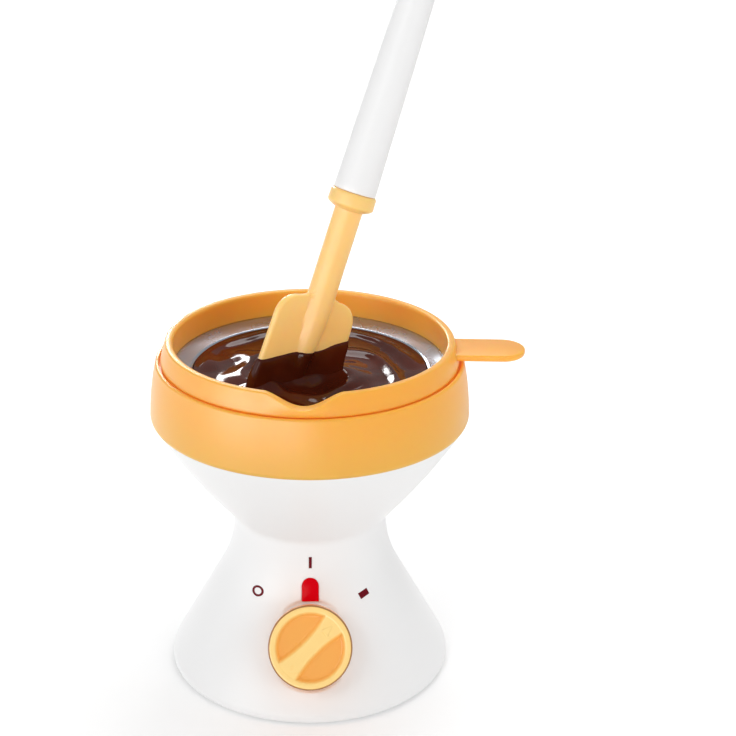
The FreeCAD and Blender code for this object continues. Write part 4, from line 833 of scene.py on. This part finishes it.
bpy.ops.object.select_all(action="DESELECT")
bpy.ops.mesh.primitive_circle_add(vertices=48, radius=1.5)
start_edit()
bpy.ops.mesh.extrude_edges_move()
bpy.ops.transform.resize(value=(1.6, 1.6, 1), center_override=(0, 0, 0))
bpy.ops.mesh.select_all(action="SELECT")
bpy.ops.transform.resize(value=(1.22, 0.95, 1), center_override=(0, 0, 0))
print_mark("mark_off", bpy.context.object, -22.1, 46.9)


# Camera, lamps and floor

def lamp(name, place, aim, width, power, lights="both"):
    """A square soft lamp at a place, turned to a point.

    It may light only the matt or only the glossy share.
    """
    data = bpy.data.lights.new(name, "AREA")
    data.size = width
    data.energy = power
    item = bpy.data.objects.new(name, data)
    bpy.context.scene.collection.objects.link(item)
    item.location = place
    item.visible_diffuse = lights != "gloss"
    item.visible_glossy = lights != "matt"
    item.rotation_euler = (Vector(aim) - Vector(place)).to_track_quat("-Z", "Y").to_euler()


lamp("window_left", (-0.5, -0.85, 0.75), (0, 0, 0.1), 0.35, 1.9)
lamp("side_left", (-0.9, -0.15, 0.3), (0, 0, 0.1), 0.9, 2.5)
lamp("front_right", (0.7, -0.95, 0.5), (0, 0, 0.08), 0.6, 3.7, "matt")
lamp("back_left", (-0.25, 0.8, 0.42), (0, 0, 0.12), 0.22, 2.6, "gloss")
lamp("back_low", (0.1, 0.9, 0.2), (0, 0, 0.14), 0.3, 1.5, "matt")
lamp("top_back", (0.2, 0.45, 0.9), (0, 0, 0.12), 0.5, 2.5, "matt")
lamp("sheen_left", (-0.8, -0.7, 0.12), (0, 0, 0.12), 0.6, 8.0, "gloss")
lamp("sheen_front", (-0.25, -1.0, 0.12), (0, 0, 0.16), 0.4, 3.5, "gloss")
lamp("sheen_top", (0.0, 0.6, 0.95), (0, 0, 0.14), 0.4, 2.8, "gloss")

camera_data = bpy.data.cameras.new("camera")
camera_data.lens = 82.14
camera_data.sensor_width = 36.0
camera_data.clip_start = 0.01
camera = bpy.data.objects.new("camera", camera_data)
bpy.context.scene.collection.objects.link(camera)
camera.location = (0, -0.650, 0.4076)
pitch = Matrix.Rotation(math.radians(67.34), 3, "X")
roll = Matrix.Rotation(math.radians(-1.968), 3, "Y")
camera.rotation_euler = (pitch @ roll).to_euler()
bpy.context.scene.camera = camera
bpy.context.scene.view_settings.view_transform = "Standard"

world = bpy.data.worlds.new("studio")
bpy.context.scene.world = world
world.use_nodes = True
air = world.node_tree
air.nodes.clear()
path = add(air, "ShaderNodeLightPath")
seen = add(air, "ShaderNodeMath", {"operation": "MAXIMUM"},
           {0: path.outputs["Is Camera Ray"], 1: path.outputs["Is Transmission Ray"]})
room = add(air, "ShaderNodeBackground", {"Color": linear("f8f8f8"), "Strength": 0.5})
backdrop = add(air, "ShaderNodeBackground", {"Color": linear("ffffff"), "Strength": 1.0})
both = add(air, "ShaderNodeMixShader", links={0: seen.outputs["Value"], 1: room.outputs["Background"],
                                              2: backdrop.outputs["Background"]})
add(air, "ShaderNodeOutputWorld", links={"Surface": both.outputs["Shader"]})

bpy.ops.object.select_all(action="DESELECT")
bpy.ops.mesh.primitive_plane_add(size=8)
floor = bpy.context.object
floor.name = "floor"
paper = bpy.data.materials.new("floor_paper")
paper.use_nodes = True
sheet = paper.node_tree
sheet.nodes.clear()
ray = add(sheet, "ShaderNodeLightPath")
matt = add(sheet, "ShaderNodeBsdfDiffuse", {"Color": linear("fdfdfd")})
glow = add(sheet, "ShaderNodeEmission", {"Color": linear("ffffff"), "Strength": 1.3})
spot = add(sheet, "ShaderNodeTexCoord")
across = add(sheet, "ShaderNodeSeparateXYZ", links={0: spot.outputs["Object"]})
# For glossy rays only the table glows brighter on the left, a painted reflection that puts a sheen on the
# left flank of the pot
painted_sheen_side = add(sheet, "ShaderNodeMapRange",
                  {"From Min": 0.15, "From Max": -0.35, "To Min": 0.1, "To Max": 2.2},
                  {"Value": across.outputs["X"]})
painted_reflection = add(sheet, "ShaderNodeMath", {"operation": "MULTIPLY"},
               {0: ray.outputs["Is Glossy Ray"], 1: painted_sheen_side.outputs["Result"]})
# Close to the pot less of the white glow is mixed in, so its soft shadow shows and the table there is also a
# little darker all round, painted shade; further out it is plain white
reach = add(sheet, "ShaderNodeVectorMath", {"operation": "LENGTH"}, {0: spot.outputs["Object"]})
paleness = add(sheet, "ShaderNodeMapRange",
               {"From Min": 0.07, "From Max": 0.3, "To Min": 0.25, "To Max": 0.8},
               {"Value": reach.outputs["Value"]})
lit = add(sheet, "ShaderNodeMath", {"operation": "MULTIPLY_ADD"},
          {0: ray.outputs["Is Camera Ray"], 1: paleness.outputs["Result"], 2: painted_reflection.outputs["Value"]})
blend = add(sheet, "ShaderNodeMixShader", links={0: lit.outputs["Value"], 1: matt.outputs["BSDF"],
                                                 2: glow.outputs["Emission"]})
add(sheet, "ShaderNodeOutputMaterial", links={"Surface": blend.outputs["Shader"]})
floor.data.materials.append(paper)
